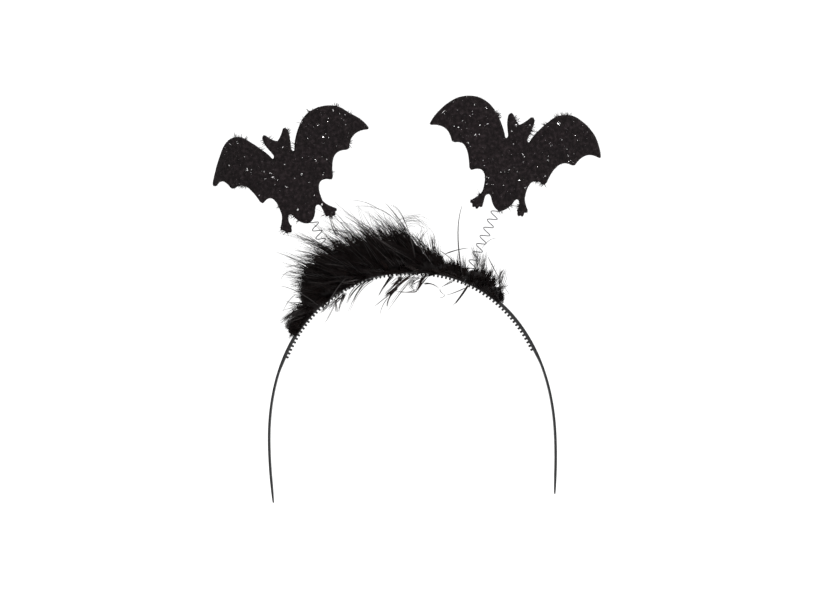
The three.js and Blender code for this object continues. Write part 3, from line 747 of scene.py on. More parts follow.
def bat_sheet(side, grid_step=0.75):
    """The sheet's points in the flat, each one's depth inside the outline, and its triangles."""
    line = bat_outline(BATS[side]["hand"])
    inward = np.roll(line, -1, 0) - np.roll(line, 1, 0)
    inward = unit(np.stack([-inward[:, 1], inward[:, 0]], -1))
    rows = [line + inward * depth for depth in (0.12, 0.4, 0.8)]
    across = np.arange(-WING_SPAN / 2, WING_SPAN / 2, grid_step)
    height = np.arange(-BAT_HEIGHT / 2, BAT_HEIGHT * 0.6, grid_step)
    grid = np.stack(np.meshgrid(across, height), -1).reshape(-1, 2)
    grid = grid + 0.12 * np.sin(grid[:, ::-1] * 5.1)
    kept = [line]
    for row, least in zip([*rows, grid], (0.11, 0.37, 0.76, 1.1)):
        kept.append(row[edge_distance(row, line) > least])
    flat = np.concatenate(kept)
    count = len(line)
    ring = np.arange(count)
    edges = np.stack([ring, np.roll(ring, -1)], 1).tolist()
    found = geometry.delaunay_2d_cdt(list(map(Vector, flat.tolist())), edges, [], 0, 1e-5)
    points = np.array(list(map(tuple, found[0])))
    triangles = np.array([face for face in found[2] if len(face) == 3])
    middles = points[triangles].mean(1)
    triangles = triangles[edge_distance(middles, line) > 0]
    a, b, c = (points[triangles[:, k]] for k in range(3))
    turned = np.cross(b - a, c - a) < 0
    triangles[turned] = triangles[turned][:, ::-1]
    depth = edge_distance(points, line)
    on_line = np.abs(depth) < 0.02
    return line, points, np.where(on_line, 0, np.abs(depth)), on_line, triangles


print("left bat stands at", np.round(bat_place("left")[0], 1))

# %% [markdown]
# Tinsel cloth is a knit of fine black yarn with flat glitter film twisted into it. From arm's
# length it is a warm, mottled black with a soft nap and hard white points where a sliver of film
# mirrors the light. The cloth is a rough shader with a noise for its nap, and the film is real
# geometry, so that the points move as they should in other views.

# %% Tinsel cloth and film
# The knit scatters light and hardly shines. Its mottling is 1.6 mm wide and a stitch is 0.9 mm,
# a little more than the real one, so that it shows.
tinsel_cloth, tree, shader = new_material("black_tinsel_cloth")
place = add_node(tree, "ShaderNodeTexCoord")
nap = add_node(
    tree,
    "ShaderNodeTexNoise",
    inputs={"Vector": place.outputs["Object"], "Scale": 1 / (1.6 * MM), "Detail": 6.0},
)
stitch = add_node(
    tree,
    "ShaderNodeTexVoronoi",
    {"feature": "F1"},
    {"Vector": place.outputs["Object"], "Scale": 1 / (0.9 * MM)},
)
tone = colour_ramp(
    tree, nap.outputs["Fac"], [(0.32, "#0c0809"), (0.52, "#171213"), (0.74, "#2a2325")]
)
tree.links.new(tone.outputs["Color"], shader.inputs["Base Color"])
tufts = add_node(
    tree,
    "ShaderNodeMath",
    {"operation": "ADD"},
    {0: nap.outputs["Fac"], 1: stitch.outputs["Distance"]},
)
relief = add_node(
    tree,
    "ShaderNodeBump",
    inputs={"Height": tufts.outputs["Value"], "Strength": 0.7, "Distance": 0.4 * MM},
)
tree.links.new(relief.outputs["Normal"], shader.inputs["Normal"])
shader.inputs["Roughness"].default_value = 0.85
shader.inputs["Specular IOR Level"].default_value = 0.12

# Loose yarn has a faint sheen, and no two ends are of one black
cloth_yarn, tree, shader = new_material("black_tinsel_yarn")
shade_of = add_node(tree, "ShaderNodeAttribute", {"attribute_name": "shade"})
tone = colour_ramp(tree, shade_of.outputs["Fac"], [(0.0, "#0b0809"), (1.0, "#2c2527")])
tree.links.new(tone.outputs["Color"], shader.inputs["Base Color"])
shader.inputs["Roughness"].default_value = 0.6
shader.inputs["Specular IOR Level"].default_value = 0.2

# Film with a silvered face: a smooth metal that flashes white where it faces a light. Its colour runs
# from silver down to dim grey by each sliver's shade, and the dim grey is painted shade
glitter_film, tree, shader = new_material("silvered_film_and_painted_shade")
shade_of = add_node(tree, "ShaderNodeAttribute", {"attribute_name": "shade"})
FILM_SILVER_AND_PAINTED_SHADE = [(0.0, "#2a2628"), (0.3, "#5a5557"), (0.55, "#b9b6b7"), (1.0, "#fbfafa")]
tone = colour_ramp(tree, shade_of.outputs["Fac"], FILM_SILVER_AND_PAINTED_SHADE)
tree.links.new(tone.outputs["Color"], shader.inputs["Base Color"])
shader.inputs["Metallic"].default_value = 1.0
shader.inputs["Roughness"].default_value = 0.16


# %% Strands and slivers
def strands(roots, ways, lengths, radii, rng, rings=3, droop=0.25):
    """Thin tapered hairs: root + way t + bend t^2, with three sides, and a shade for each."""
    t = np.linspace(0, 1, rings)[None, :, None]
    bend = rng.normal(size=roots.shape) * droop
    paths = roots[:, None] + lengths[:, None, None] * (ways[:, None] * t + bend[:, None] * t**2)
    taper = radii[:, None] * (1 - 0.85 * np.linspace(0, 1, rings) ** 1.5)
    outwards = unit(rng.normal(size=roots.shape))[:, None] + 0 * paths
    points = tube_rings(paths, taper, outwards, 3)
    shade = np.repeat(rng.random(len(roots)), rings * 3)
    return points.reshape(-1, 3), loft_faces(len(roots), rings, 3), shade


def slivers(centres, facing, lengths, widths, rng, tilt):
    """Flat eight-sided chips: two pyramids base to base, one tenth as thick as they are wide."""
    normal = unit(facing + rng.normal(size=centres.shape) * tilt)
    long_way = unit(np.cross(normal, rng.normal(size=centres.shape)))
    wide_way = np.cross(normal, long_way)
    corners = np.stack(
        [
            long_way * lengths[:, None],
            wide_way * widths[:, None],
            -long_way * lengths[:, None],
            -wide_way * widths[:, None],
            normal * widths[:, None] * 0.1,
            -normal * widths[:, None] * 0.1,
        ],
        1,
    )
    front = [[0, 1, 4], [1, 2, 4], [2, 3, 4], [3, 0, 4]]
    back = [[1, 0, 5], [2, 1, 5], [3, 2, 5], [0, 3, 5]]
    base = np.array(front + back)
    faces = (np.arange(len(centres))[:, None, None] * 6 + base).reshape(-1, 3)
    return (centres[:, None] + corners / 2).reshape(-1, 3), [faces]


print("strands and slivers ready")

# %% [markdown]
# Where the stamp cut the knit, ends of yarn stand out in knots. They and the largest flashes of
# film were looked up in the picture, since the eye finds them first. The tables give their columns
# and rows.

# %% Where bristles and bright spots are
TUFTS = {
    "left": [
        (310, 111), (302, 121), (336, 106), (337, 106), (351, 111), (289, 130), (290, 132),
        (233, 135), (236, 136), (245, 136), (246, 137), (260, 149), (271, 137), (264, 142),
        (351, 144), (330, 172), (280, 207), (291, 215), (298, 219), (286, 232), (283, 231),
        (330, 216), (328, 215), (294, 146), (241, 187), (243, 188),
    ],
    "right": [
        (498, 115), (497, 113), (499, 117), (516, 119), (517, 121), (532, 129), (530, 134),
        (529, 139), (557, 116), (562, 115), (566, 114), (569, 113), (545, 125), (536, 133),
        (535, 183), (543, 184), (510, 208), (512, 207), (500, 212), (477, 194), (519, 207),
    ],
}
BRIGHT_SPOTS = {
    "left": [
        (231, 144), (239, 142), (252, 173), (248, 170), (271, 174), (273, 176), (301, 157),
        (318, 126), (316, 125), (332, 111), (342, 119), (285, 163), (283, 147), (310, 182),
        (286, 187), (265, 179), (275, 179), (240, 184), (230, 166), (324, 173), (325, 137),
        (337, 145), (318, 162), (298, 209), (301, 175), (314, 195), (263, 171),
    ],
    "right": [
        (446, 112), (443, 113), (454, 126), (487, 109), (488, 124), (474, 135), (476, 135),
        (467, 142), (469, 147), (485, 165), (484, 160), (489, 178), (487, 184), (512, 132),
        (517, 126), (527, 127), (529, 125), (514, 143), (523, 154), (525, 157), (537, 167),
        (514, 168), (523, 163), (552, 146), (559, 123), (588, 131), (573, 153), (567, 156),
        (570, 161), (549, 160), (561, 141), (526, 189), (544, 176), (473, 114), (516, 172),
    ],
}


def near_weight(points, spots, spread):
    """The sum over the spots of exp(-d^2 / (2 spread^2)), seen from the front."""
    place = from_picture(*np.array(spots, float).T, points[:, 1].mean())
    gap = points[:, None, ::2] - place[None, :, ::2]
    return np.exp(-(gap**2).sum(-1) / (2 * spread**2)).sum(1)


print("tufts:", {side: len(spots) for side, spots in TUFTS.items()})

# %% [markdown]
# The cloth is two layers of the same triangles, one in front of the sheet's middle and one behind.
# They share the points of the outline, which closes the edge. A slow wave and a finer puff keep the
# faces from looking like a stamped metal plate.

# %% The bats' cloth
CLOTH_WAVE = 0.16
CLOTH_PUFF = 0.05


def bat_cloth(side, flat, depth, on_line, triangles):
    """Front and back: the sheet's middle plus or minus (half thickness + puff), plus the wave."""
    seed = BATS[side]["seed"]
    half = half_thickness(depth)
    wave = CLOTH_WAVE * smooth_noise(flat, 17, seed)
    puff = CLOTH_PUFF * smooth_noise(flat, 3.1, seed + 5) * np.clip(depth, 0, 1)
    front = lay_on_bat(side, flat, half + wave + puff)
    back = lay_on_bat(side, flat, -half + wave - puff)
    inner = np.flatnonzero(~on_line)
    back_index = np.arange(len(flat))
    back_index[inner] = len(flat) + np.arange(len(inner))
    points = np.concatenate([front, back[inner]])
    faces = np.concatenate([triangles, back_index[triangles[:, ::-1]]])
    cloth = make_piece(f"{side}_bat_cloth", points, [faces], tinsel_cloth, f"{side}_bob")
    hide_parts(f"{side}_bat")
    return points, faces, half, wave


print("cloth wave:", CLOTH_WAVE, "mm, puff:", CLOTH_PUFF, "mm")

# %% [markdown]
# A short nap grows all over the cloth: roots are picked on the faces by their area. The bristles
# start a little inside the outline and stand out from it, longer and thicker in the knots.

# %% Nap and bristles
NAP_COUNT = 3000
NAP_RADIUS = 0.05
BRISTLE_COUNT = 270
KNOT_SPREAD = 1.1
BRISTLE_INSET = 0.4


def nap_on(points, faces, rng):
    """A root in a random mix of a face's corners, and a way near its normal."""
    a, b, c = (points[faces[:, k]] for k in range(3))
    normals = np.cross(b - a, c - a)
    area = np.linalg.norm(normals, axis=1)
    pick = rng.choice(len(faces), NAP_COUNT, p=area / area.sum())
    mix = rng.dirichlet([1, 1, 1], len(pick))
    roots = (np.stack([a, b, c], 1)[pick] * mix[..., None]).sum(1)
    ways = unit(unit(normals[pick]) + rng.normal(size=roots.shape) * 0.55)
    lengths = rng.uniform(0.25, 0.6, len(pick))
    return strands(roots, ways, lengths, np.full(len(pick), NAP_RADIUS), rng)


def bristles_on(side, line, rng):
    """Roots on the outline, more of them near a knot, and ways near the outline's outward one."""
    outward = np.roll(line, 1, 0) - np.roll(line, -1, 0)
    outward = unit(np.stack([-outward[:, 1], outward[:, 0]], -1))
    placed = lay_on_bat(side, line, np.zeros(len(line)))
    knots = near_weight(placed, TUFTS[side], KNOT_SPREAD)
    crowd = knots + 0.06 * knots.max() / 2
    pick = rng.choice(len(line), BRISTLE_COUNT, p=crowd / crowd.sum())
    in_knot = knots[pick] > 0.4
    flat_way = unit(outward[pick] + rng.normal(size=(len(pick), 2)) * 0.4)
    inset = line[pick] - outward[pick] * BRISTLE_INSET
    long, short = rng.uniform(0.5, 2.2, len(pick)), rng.uniform(0.2, 0.7, len(pick))
    length = np.where(in_knot, long, short) + 0.5
    depth_at = rng.uniform(-0.7, 0.7, len(pick))
    start = lay_on_bat(side, inset, depth_at)
    finish = lay_on_bat(side, inset + flat_way * length[:, None], depth_at)
    radii = np.where(in_knot, rng.uniform(0.12, 0.2, len(pick)), 0.1)
    return strands(start, unit(finish - start), length, radii, rng, droop=0.12)


print("nap hairs:", NAP_COUNT, "bristles:", BRISTLE_COUNT)

# %% [markdown]
# Film lies on both faces: bright slivers where they were seen and some more at random, and many fine
# ones that give the cloth its grain. The fine ones are coloured mostly dim grey, which is painted
# shade on the same silvered film.

# %% Glitter film
FILM_COUNT = 1500
RANDOM_BRIGHT = 18
FILM_LIFT = 0.24


def bat_film(side, flat, depth, half, wave, rng):
    """Slivers at points of the sheet, lifted off the face and turned near its normal."""
    inside = np.flatnonzero(depth > 0.6)
    seen_at = lay_on_bat(side, flat[inside], np.zeros(len(inside)))
    spots = from_picture(*np.array(BRIGHT_SPOTS[side], float).T, seen_at[:, 1].mean())
    nearest = np.linalg.norm(spots[:, None, ::2] - seen_at[None, :, ::2], axis=-1).argmin(1)
    scattered = rng.choice(inside, FILM_COUNT)
    nearest = np.repeat(nearest, rng.integers(1, 4, len(nearest)))
    spot = np.concatenate([inside[nearest], scattered])
    count = len(spot)
    number = np.arange(count)
    big = number < len(nearest) + 3 * RANDOM_BRIGHT
    in_front = (number < len(nearest) + RANDOM_BRIGHT) | (number % 2 == 0)
    face_on = np.where(in_front, 1.0, -1.0)
    length = np.where(big, rng.gamma(3, 0.14, count) + 0.16, rng.uniform(0.12, 0.36, count))
    width = length * rng.uniform(0.25, 0.65, count)
    shift = rng.normal(0, 0.35, (count, 2))
    centres = lay_on_bat(side, flat[spot] + shift, face_on * (half[spot] + FILM_LIFT) + wave[spot])
    ahead = unit(lay_on_bat(side, flat[spot], face_on * (half[spot] + 5)) - centres)
    tilt = np.where(big, 0.3, 0.6)[:, None]
    points, faces = slivers(centres, ahead, length, width, rng, tilt)
    # Pale grey to silver for the bright slivers, mostly dim grey for the fine ones: painted shade on
    # one silvered film
    shade = np.where(big, rng.uniform(0.5, 1.0, count), rng.random(count) ** 2 * 0.5)
    return points, faces, np.repeat(shade, 6)


print("film slivers:", FILM_COUNT, "and the bright ones")

# %% Both bats
for side, bat in BATS.items():
    rng = np.random.default_rng(bat["seed"])
    bob = f"{side}_bob"
    line, flat, depth, on_line, triangles = bat_sheet(side)
    points, faces, half, wave = bat_cloth(side, flat, depth, on_line, triangles)
    nap_part = nap_on(points, faces, rng)
    edge_part = bristles_on(side, line, rng)
    points, faces = joined(nap_part[:2], edge_part[:2])
    shade = np.concatenate([nap_part[2], edge_part[2]])
    nap = make_piece(f"{side}_bat_nap", points, faces, cloth_yarn, bob, shade=shade)
    points, faces, shade = bat_film(side, flat, depth, half, wave, rng)
    film = make_piece(f"{side}_bat_film", points, faces, glitter_film, bob, False, shade=shade)

# %% [markdown]
# A felt pad holds each spring's end to the back of its bat. It is a disc with a soft rim: a
# profile turned about the pad's middle.

# %% Felt pads
# Pressed wool: no shine at all, and fibres in clumps of about 0.6 mm
pad_felt, tree, shader = new_material("black_pressed_felt")
place = add_node(tree, "ShaderNodeTexCoord")
fibre = add_node(
    tree,
    "ShaderNodeTexNoise",
    inputs={"Vector": place.outputs["Object"], "Scale": 1 / (0.6 * MM), "Detail": 7.0},
)
tone = colour_ramp(tree, fibre.outputs["Fac"], [(0.3, "#0d0b0c"), (0.75, "#2a2628")])
tree.links.new(tone.outputs["Color"], shader.inputs["Base Color"])
relief = add_node(
    tree,
    "ShaderNodeBump",
    inputs={"Height": fibre.outputs["Fac"], "Strength": 0.8, "Distance": 0.3 * MM},
)
tree.links.new(relief.outputs["Normal"], shader.inputs["Normal"])
shader.inputs["Roughness"].default_value = 0.95
shader.inputs["Specular IOR Level"].default_value = 0.1

for side in BATS:
    low, high = node_box(f"{side}_pad")
    radius = (high[0] - low[0]) / 2
    middle = (low + high) / 2
    turn = np.linspace(0, 2 * np.pi, 72, endpoint=False)
    slope = np.linspace(0, np.pi, 15)
    out = np.concatenate([[0.02, 0.5, 0.8], 1 - 0.16 * (1 - np.sin(slope)), [0.8, 0.5, 0.02]])
    deep = np.concatenate([[-1, -1, -1], -np.cos(slope), [1, 1, 1]])
    wobble = 1 + 0.012 * np.sin(5 * turn + 1) + 0.008 * np.sin(11 * turn)
    spread = radius * out[:, None] * wobble
    disc = np.stack(
        [
            middle[0] + spread * np.cos(turn),
            middle[1] + (high[1] - low[1]) / 2 * deep[:, None] + 0 * turn,
            middle[2] + spread * np.sin(turn),
        ],
        -1,
    )
    felt_faces = [face[:, ::-1] for face in loft_faces(1, *disc.shape[:2])]
    felt = make_piece(f"{side}_felt", disc.reshape(-1, 3), felt_faces, pad_felt, f"{side}_bob")
    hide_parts(f"{side}_pad")

# %% [markdown]
# ## The feather trim
# The trim is marabou: soft down with long, fine barbs that lie over to one side in locks. Each
# hair is a thin tapered tube. A lock has one middle line, which is walked step by step and ends
# where it passes its share of the height measured in the photograph. The lock's hairs keep to
# that line and close up towards its tip, and that is what makes the edge spiky and not woolly.

# %% How the trim lies
# x: sideways place on the band; dense: height of the dense part; depth: how far it spreads to
# the front and the back; lean: how far hairs lie over to the left, in degrees
TRIM = np.array(
    [
        (-54.3, 2.2, 4.6, 72),
        (-53.5, 4.6, 5.4, 72),
        (-52.0, 6.4, 6.2, 70),
        (-50.3, 6.8, 6.5, 66),
        (-48.8, 6.2, 6.6, 60),
        (-46.5, 5.0, 7.5, 52),
        (-45.1, 5.2, 8.5, 52),
        (-44.2, 8.6, 9.5, 58),
        (-43.0, 11.0, 10.0, 62),
        (-41.8, 12.9, 10.5, 64),
        (-39.9, 16.2, 11.0, 64),
        (-37.5, 17.2, 11.0, 64),
        (-35.4, 17.6, 11.3, 63),
        (-33.8, 21.0, 11.6, 61),
        (-29.0, 21.0, 12.0, 56),
        (-20.0, 21.8, 12.5, 50),
        (-12.0, 21.3, 12.5, 42),
        (-6.4, 20.0, 12.3, 39),
        (-1.0, 17.5, 12.0, 37),
        (3.0, 14.2, 11.0, 36),
        (7.4, 9.4, 10.0, 42),
        (13.0, 10.2, 9.5, 38),
        (17.0, 5.5, 8.0, 34),
        (21.0, 6.2, 7.5, 26),
        (26.8, 4.6, 7.0, 14),
        (29.7, 7.2, 7.0, 6),
        (35.3, 8.6, 7.5, 2),
        (38.0, 5.8, 6.5, 6),
        (41.6, 4.6, 5.5, 8),
        (43.8, 2.2, 4.3, 12),
    ],
    dtype=[("x", float), ("dense", float), ("depth", float), ("lean", float)],
)
TRIM_RUN = distance_at(TRIM["x"])
TRIM_START, TRIM_END = TRIM_RUN[0], TRIM_RUN[-1]
POLAR_CENTRE = np.array([0.0, 0.0, -62.0])
PAST_END = 3.0

polar_run = np.linspace(TRIM_START - 12, TRIM_END + 12, 400)
polar_place = arch_frame(polar_run)[0] - POLAR_CENTRE
POLAR_ANGLE = np.arctan2(polar_place[:, 0], polar_place[:, 2])
POLAR_RADIUS = np.linalg.norm(polar_place, axis=1)


def trim_at(distance, column):
    """A column of the table at each distance along the arch, straight between its rows."""
    return np.interp(distance, TRIM_RUN, TRIM[column])


def fullness(points):
    """sqrt((height / dense height)^2 + (across / depth)^2): 1 on the dense part's outside."""
    rel = points - POLAR_CENTRE
    angle = np.arctan2(rel[..., 0], rel[..., 2])
    run = np.interp(angle, POLAR_ANGLE, polar_run)
    height = np.hypot(rel[..., 0], rel[..., 2]) - np.interp(angle, POLAR_ANGLE, POLAR_RADIUS)
    past_end = np.maximum(np.maximum(TRIM_START - run, run - TRIM_END), 0)
    return np.sqrt(
        (np.maximum(height, 0) / trim_at(run, "dense")) ** 2
        + (points[..., 1] / trim_at(run, "depth")) ** 2
        + (past_end / PAST_END) ** 2
    )


print("trim runs", round(float(TRIM_END - TRIM_START), 1), "mm along the band")

# %% Black marabou
# Dyed down is a warm black that swallows light. Each hair has its own shade, up to a dusty brown.
black_marabou, tree, shader = new_material("dyed_black_marabou")
shade_of = add_node(tree, "ShaderNodeAttribute", {"attribute_name": "shade"})
tone = colour_ramp(
    tree, shade_of.outputs["Fac"], [(0.0, "#070404"), (0.8, "#170f0e"), (1.0, "#3b302d")]
)
tree.links.new(tone.outputs["Color"], shader.inputs["Base Color"])
shader.inputs["Roughness"].default_value = 0.5
shader.inputs["Specular IOR Level"].default_value = 0.1

# Long barbs are smoother than down, so they catch a line of light
barb_sheen, tree, shader = new_material("glossy_black_barb")
shade_of = add_node(tree, "ShaderNodeAttribute", {"attribute_name": "shade"})
tone = colour_ramp(tree, shade_of.outputs["Fac"], [(0.0, "#0c0909"), (1.0, "#2b2524")])
tree.links.new(tone.outputs["Color"], shader.inputs["Base Color"])
shader.inputs["Roughness"].default_value = 0.4
shader.inputs["Specular IOR Level"].default_value = 0.4


# %% [markdown]
# A lock grows like a blade of grass in the wind: it leaves the band near its lean and bends over
# more the further it goes. All locks are walked at once, a step for each, and the walk of each is
# then cut where it leaves the measured outline.

# %% Walking a lock's middle line
def lock_lines(run, across, lean, splay, curl, share, reach, steps=30):
    """A walk from each root: its way is -sin(l) along + cos(l) (cos(s) out + sin(s) across), with
    l the lean and s the splay. It stops where fullness passes the lock's share."""
    t = np.linspace(0, 1, steps)[None]
    foot, along, out = arch_frame(run)
    angle = lean[:, None] * (0.45 + 0.75 * t) + curl[:, None] * t**2
    side = splay[:, None] * (1 + 0.25 * t)
    way = (
        -np.sin(angle)[..., None] * along[:, None]
        + (np.cos(angle) * np.cos(side))[..., None] * out[:, None]
        + (np.cos(angle) * np.sin(side))[..., None] * ACROSS
    )
    step = (reach / (steps - 1))[:, None, None]
    start = (foot + ACROSS * across[:, None])[:, None]
    line = start + np.concatenate([0 * way[:, :1], np.cumsum(way[:, 1:] * step, 1)], 1)
    past = fullness(line) > share[:, None]
    stop = np.where(past.any(1), past.argmax(1), steps - 1)
    return line, np.maximum(stop, 4).astype(float)


def hairs_on_lines(line, stop, hairs, base, gather, flare, first, rings, rng):
    """Each hair keeps to its lock's line: line + offset (1 - gather t^1.2) + flare t^2."""
    lock_of = np.repeat(np.arange(len(line)), hairs)
    count = len(lock_of)
    t = first + (1 - first) * np.linspace(0, 1, rings)
    length = stop[lock_of] * rng.uniform(0.62, 1.06, count)
    at = np.clip(length[:, None] * t, 0, line.shape[1] - 1.001)
    low = at.astype(int)
    mix = (at - low)[..., None]
    row = lock_of[:, None]
    middle = line[row, low] * (1 - mix) + line[row, low + 1] * mix
    t = t[None, :, None]
    offset = rng.normal(size=(count, 1, 3)) * base * (1 - gather * t**1.2)
    away = rng.normal(size=(count, 1, 3)) * flare * t**2
    return middle + offset + away, lock_of


def hair_mesh(name, path, thick, sides, material, shade, rng):
    """Tubes of about `thick` in radius that taper to a fifth of it, as one piece on the band."""
    count, rings = path.shape[:2]
    radius = thick * rng.uniform(0.7, 1.3, count)
    taper = radius[:, None] * (1 - 0.8 * np.linspace(0, 1, rings) ** 1.5)
    outwards = np.broadcast_to(unit(np.array([0.31, 1.0, 0.17])), path.shape)
    points = tube_rings(path, taper, outwards, sides)
    piece = make_piece(
        name,
        points.reshape(-1, 3),
        loft_faces(count, rings, sides),
        material,
        "band",
        shade=np.repeat(shade, rings * sides),
    )
    return piece


# Locks stand longer and shorter in turn, about 5.5 mm apart, which leaves bays of light between
CLUMP_SPACING = 5.5
CLUMP_SEED = 9
LOCK_LOOK = {
    "lean": 12,
    "splay": 34,
    "curl": 18,
    "base": 1.1,
    "gather": 0.8,
    "flare": 0.45,
    "first": 0.3,
    "rings": 4,
    "uneven": 0.16,
    "material": black_marabou,
}


def hair_piece(name, span, locks, hairs, share, thick, seed, **look):
    """Locks along a span of the trim, more of them where it is fuller, as one mesh."""
    look = {**LOCK_LOOK, **look}
    rng = np.random.default_rng(seed)
    choice = np.linspace(*distance_at(np.array(span, float)), 600)
    weight = trim_at(choice, "dense") + 5.0
    run = rng.choice(choice, locks, p=weight / weight.sum())
    lean = np.radians(trim_at(run, "lean") + rng.normal(0, look["lean"], locks))
    splay = np.radians(np.clip(rng.normal(0, look["splay"], locks), -82, 82))
    across = np.clip(3.6 * np.sin(splay) + rng.normal(0, 0.7, locks), -4, 4)
    curl = np.radians(rng.normal(3, look["curl"], locks))
    reach = 2.2 * trim_at(run, "dense") + 9.0
    clump = 1 + look["uneven"] * smooth_noise(run[:, None], CLUMP_SPACING, CLUMP_SEED, waves=9)
    share = rng.uniform(*share, locks) * clump
    line, stop = lock_lines(run, across, lean, splay, curl, share, reach)
    shape = (look["base"], look["gather"], look["flare"], look["first"], look["rings"])
    path, lock_of = hairs_on_lines(line, stop, hairs, *shape, rng)
    shade = 0.5 * rng.random(locks)[lock_of] + 0.5 * rng.random(len(path)) ** 2
    return hair_mesh(name, path, thick, 3, look["material"], shade, rng)


print("lock helpers ready, clumps every", CLUMP_SPACING, "mm")

# %% [markdown]
# Under the hairs lies a thick pad of down that lets no light through. It is one closed, lumpy
# dome along the band, lower than the hairs. Its rim comes down over the band's two edges, as the
# real trim does, so that only the teeth show below it.

# %% The pad of down
DOWN_SHARE = 0.74
END_SHARE = 0.42
RIM_DROP = 1.3
run = np.linspace(TRIM_START + 0.6, TRIM_END - 0.6, 320)
turn = np.linspace(0, np.pi, 44)
closing = np.sqrt(np.clip(np.minimum(run - run[0], run[-1] - run) / 3.0, 0.02, 1))
share = np.interp(run, distance_at(np.array([-47.0, -45.0])), [END_SHARE, DOWN_SHARE])
height = (trim_at(run, "dense") * share * closing + RIM_DROP)[:, None]
half_depth = np.maximum(trim_at(run, "depth") * 0.66, 4.6)[:, None]
rise = np.sin(turn) * height
reach = np.cos(turn) * (4.6 + (half_depth - 4.6) * np.sin(turn) ** 0.5)
down_points = on_arch(run[:, None] + 0 * turn, -0.22 * rise, reach, rise - RIM_DROP)
lumps = 0.75 * smooth_noise(down_points, 4.2, 3, waves=12) * np.sin(turn)
under = on_arch(run[:, None] + 0 * turn, 0 * rise, 0 * rise, -RIM_DROP + 0 * rise)
lumps_way = unit(down_points - under)
down_points += lumps[..., None] * lumps_way
# The pad takes one dark shade of 0.1, below most hairs' shades: the down is real, and its darker tone
# is painted shade for the depth of the mass
down = make_piece(
    "down",
    down_points.reshape(-1, 3),
    loft_faces(1, *down_points.shape[:2]),
    black_marabou,
    "band",
    shade=np.full(down_points.shape[0] * down_points.shape[1], 0.1),
)
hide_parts("feather_trim")

# %% [markdown]
# The locks come in layers: thick ones that make the mass, loose barbs that make the fringe, and long
# smooth barbs that cross it. Each row names a span of the trim by its two sideways places, then how
# many locks and hairs, the shares of the outline at which they end, the hairs' radius and a seed.
# Real down is far finer than a pixel, so the hairs are drawn 0.12 to 0.15 mm in radius.

# %% The locks, from the dense down out to the loose barbs
LAYERS = [
    ("locks_end", (-53.2, -45.6), 95, 30, (0.6, 1.02), 0.13, 20),
    ("locks_left", (-44.6, -24.0), 150, 42, (0.74, 1.14), 0.14, 21),
    ("locks_crown", (-26.0, 6.0), 150, 42, (0.74, 1.12), 0.13, 22),
    ("locks_right", (3.0, 43.7), 150, 34, (0.8, 1.3), 0.12, 23),
    ("barbs_left", (-45.0, -18.0), 150, 8, (0.95, 1.85), 0.15, 24),
    ("barbs_right", (-20.0, 43.6), 150, 8, (0.95, 1.7), 0.14, 25),
    ("long_barbs", (-45.0, 12.0), 170, 2, (1.25, 1.85), 0.15, 26),
]
LAYER_LOOKS = {
    "locks_end": {"splay": 28, "gather": 0.9, "flare": 0.3},
    "locks_right": {"base": 0.9},
    "barbs_left": {"lean": 15, "rings": 6, "flare": 1.0, "uneven": 0.24},
    "barbs_right": {"lean": 18, "rings": 6, "flare": 1.1, "uneven": 0.24},
    "long_barbs": {
        "lean": 14,
        "curl": 22,
        "rings": 8,
        "first": 0.1,
        "flare": 0.9,
        "material": barb_sheen,
    },
}
for layer in LAYERS:
    hair_piece(*layer, **LAYER_LOOKS.get(layer[0], {}))

# %% [markdown]
# Along both edges of the band the down hangs over the plastic. These short locks start at the
# band's edge, lie along it to the left and hide its side.


# %% The overhang at the band's edges
def overhang(name, locks, hairs, seed):
    """Locks from both edges that lie along the band, turned a little down and outwards."""
    rng = np.random.default_rng(seed)
    run = rng.uniform(TRIM_START + 1, TRIM_END - 0.5, locks)
    edge = np.where(rng.random(locks) < 0.6, -1.0, 1.0)
    splay = np.radians(edge * rng.normal(88, 12, locks))
    lean = np.radians(rng.normal(60, 9, locks))
    curl = np.radians(rng.normal(8, 12, locks))
    share = rng.uniform(0.62, 0.95, locks)
    line, stop = lock_lines(run, edge * 4.2, lean, splay, curl, share, np.full(locks, 9.0))
    line = line - arch_frame(run)[2][:, None] * rng.uniform(0, 0.6, (locks, 1, 1))
    path, lock_of = hairs_on_lines(line, stop, hairs, 0.45, 0.5, 0.3, 0.0, 4, rng)
    shade = 0.5 * rng.random(locks)[lock_of] + 0.4 * rng.random(len(path)) ** 2
    return hair_mesh(name, path, 0.12, 3, black_marabou, shade, rng)


overhang("overhang", 190, 18, 27)

# %% [markdown]
# A few hairs are long enough to be seen one by one, so they are traced: quills that stand away
# from the trim, and wisps that have slipped under the band and hang inside the arch. Each row is
# a bundle with the columns and rows of its start, middle and end in the picture, how far it is
# behind the band's middle, its hairs' radius and number, and how far they part at either end.

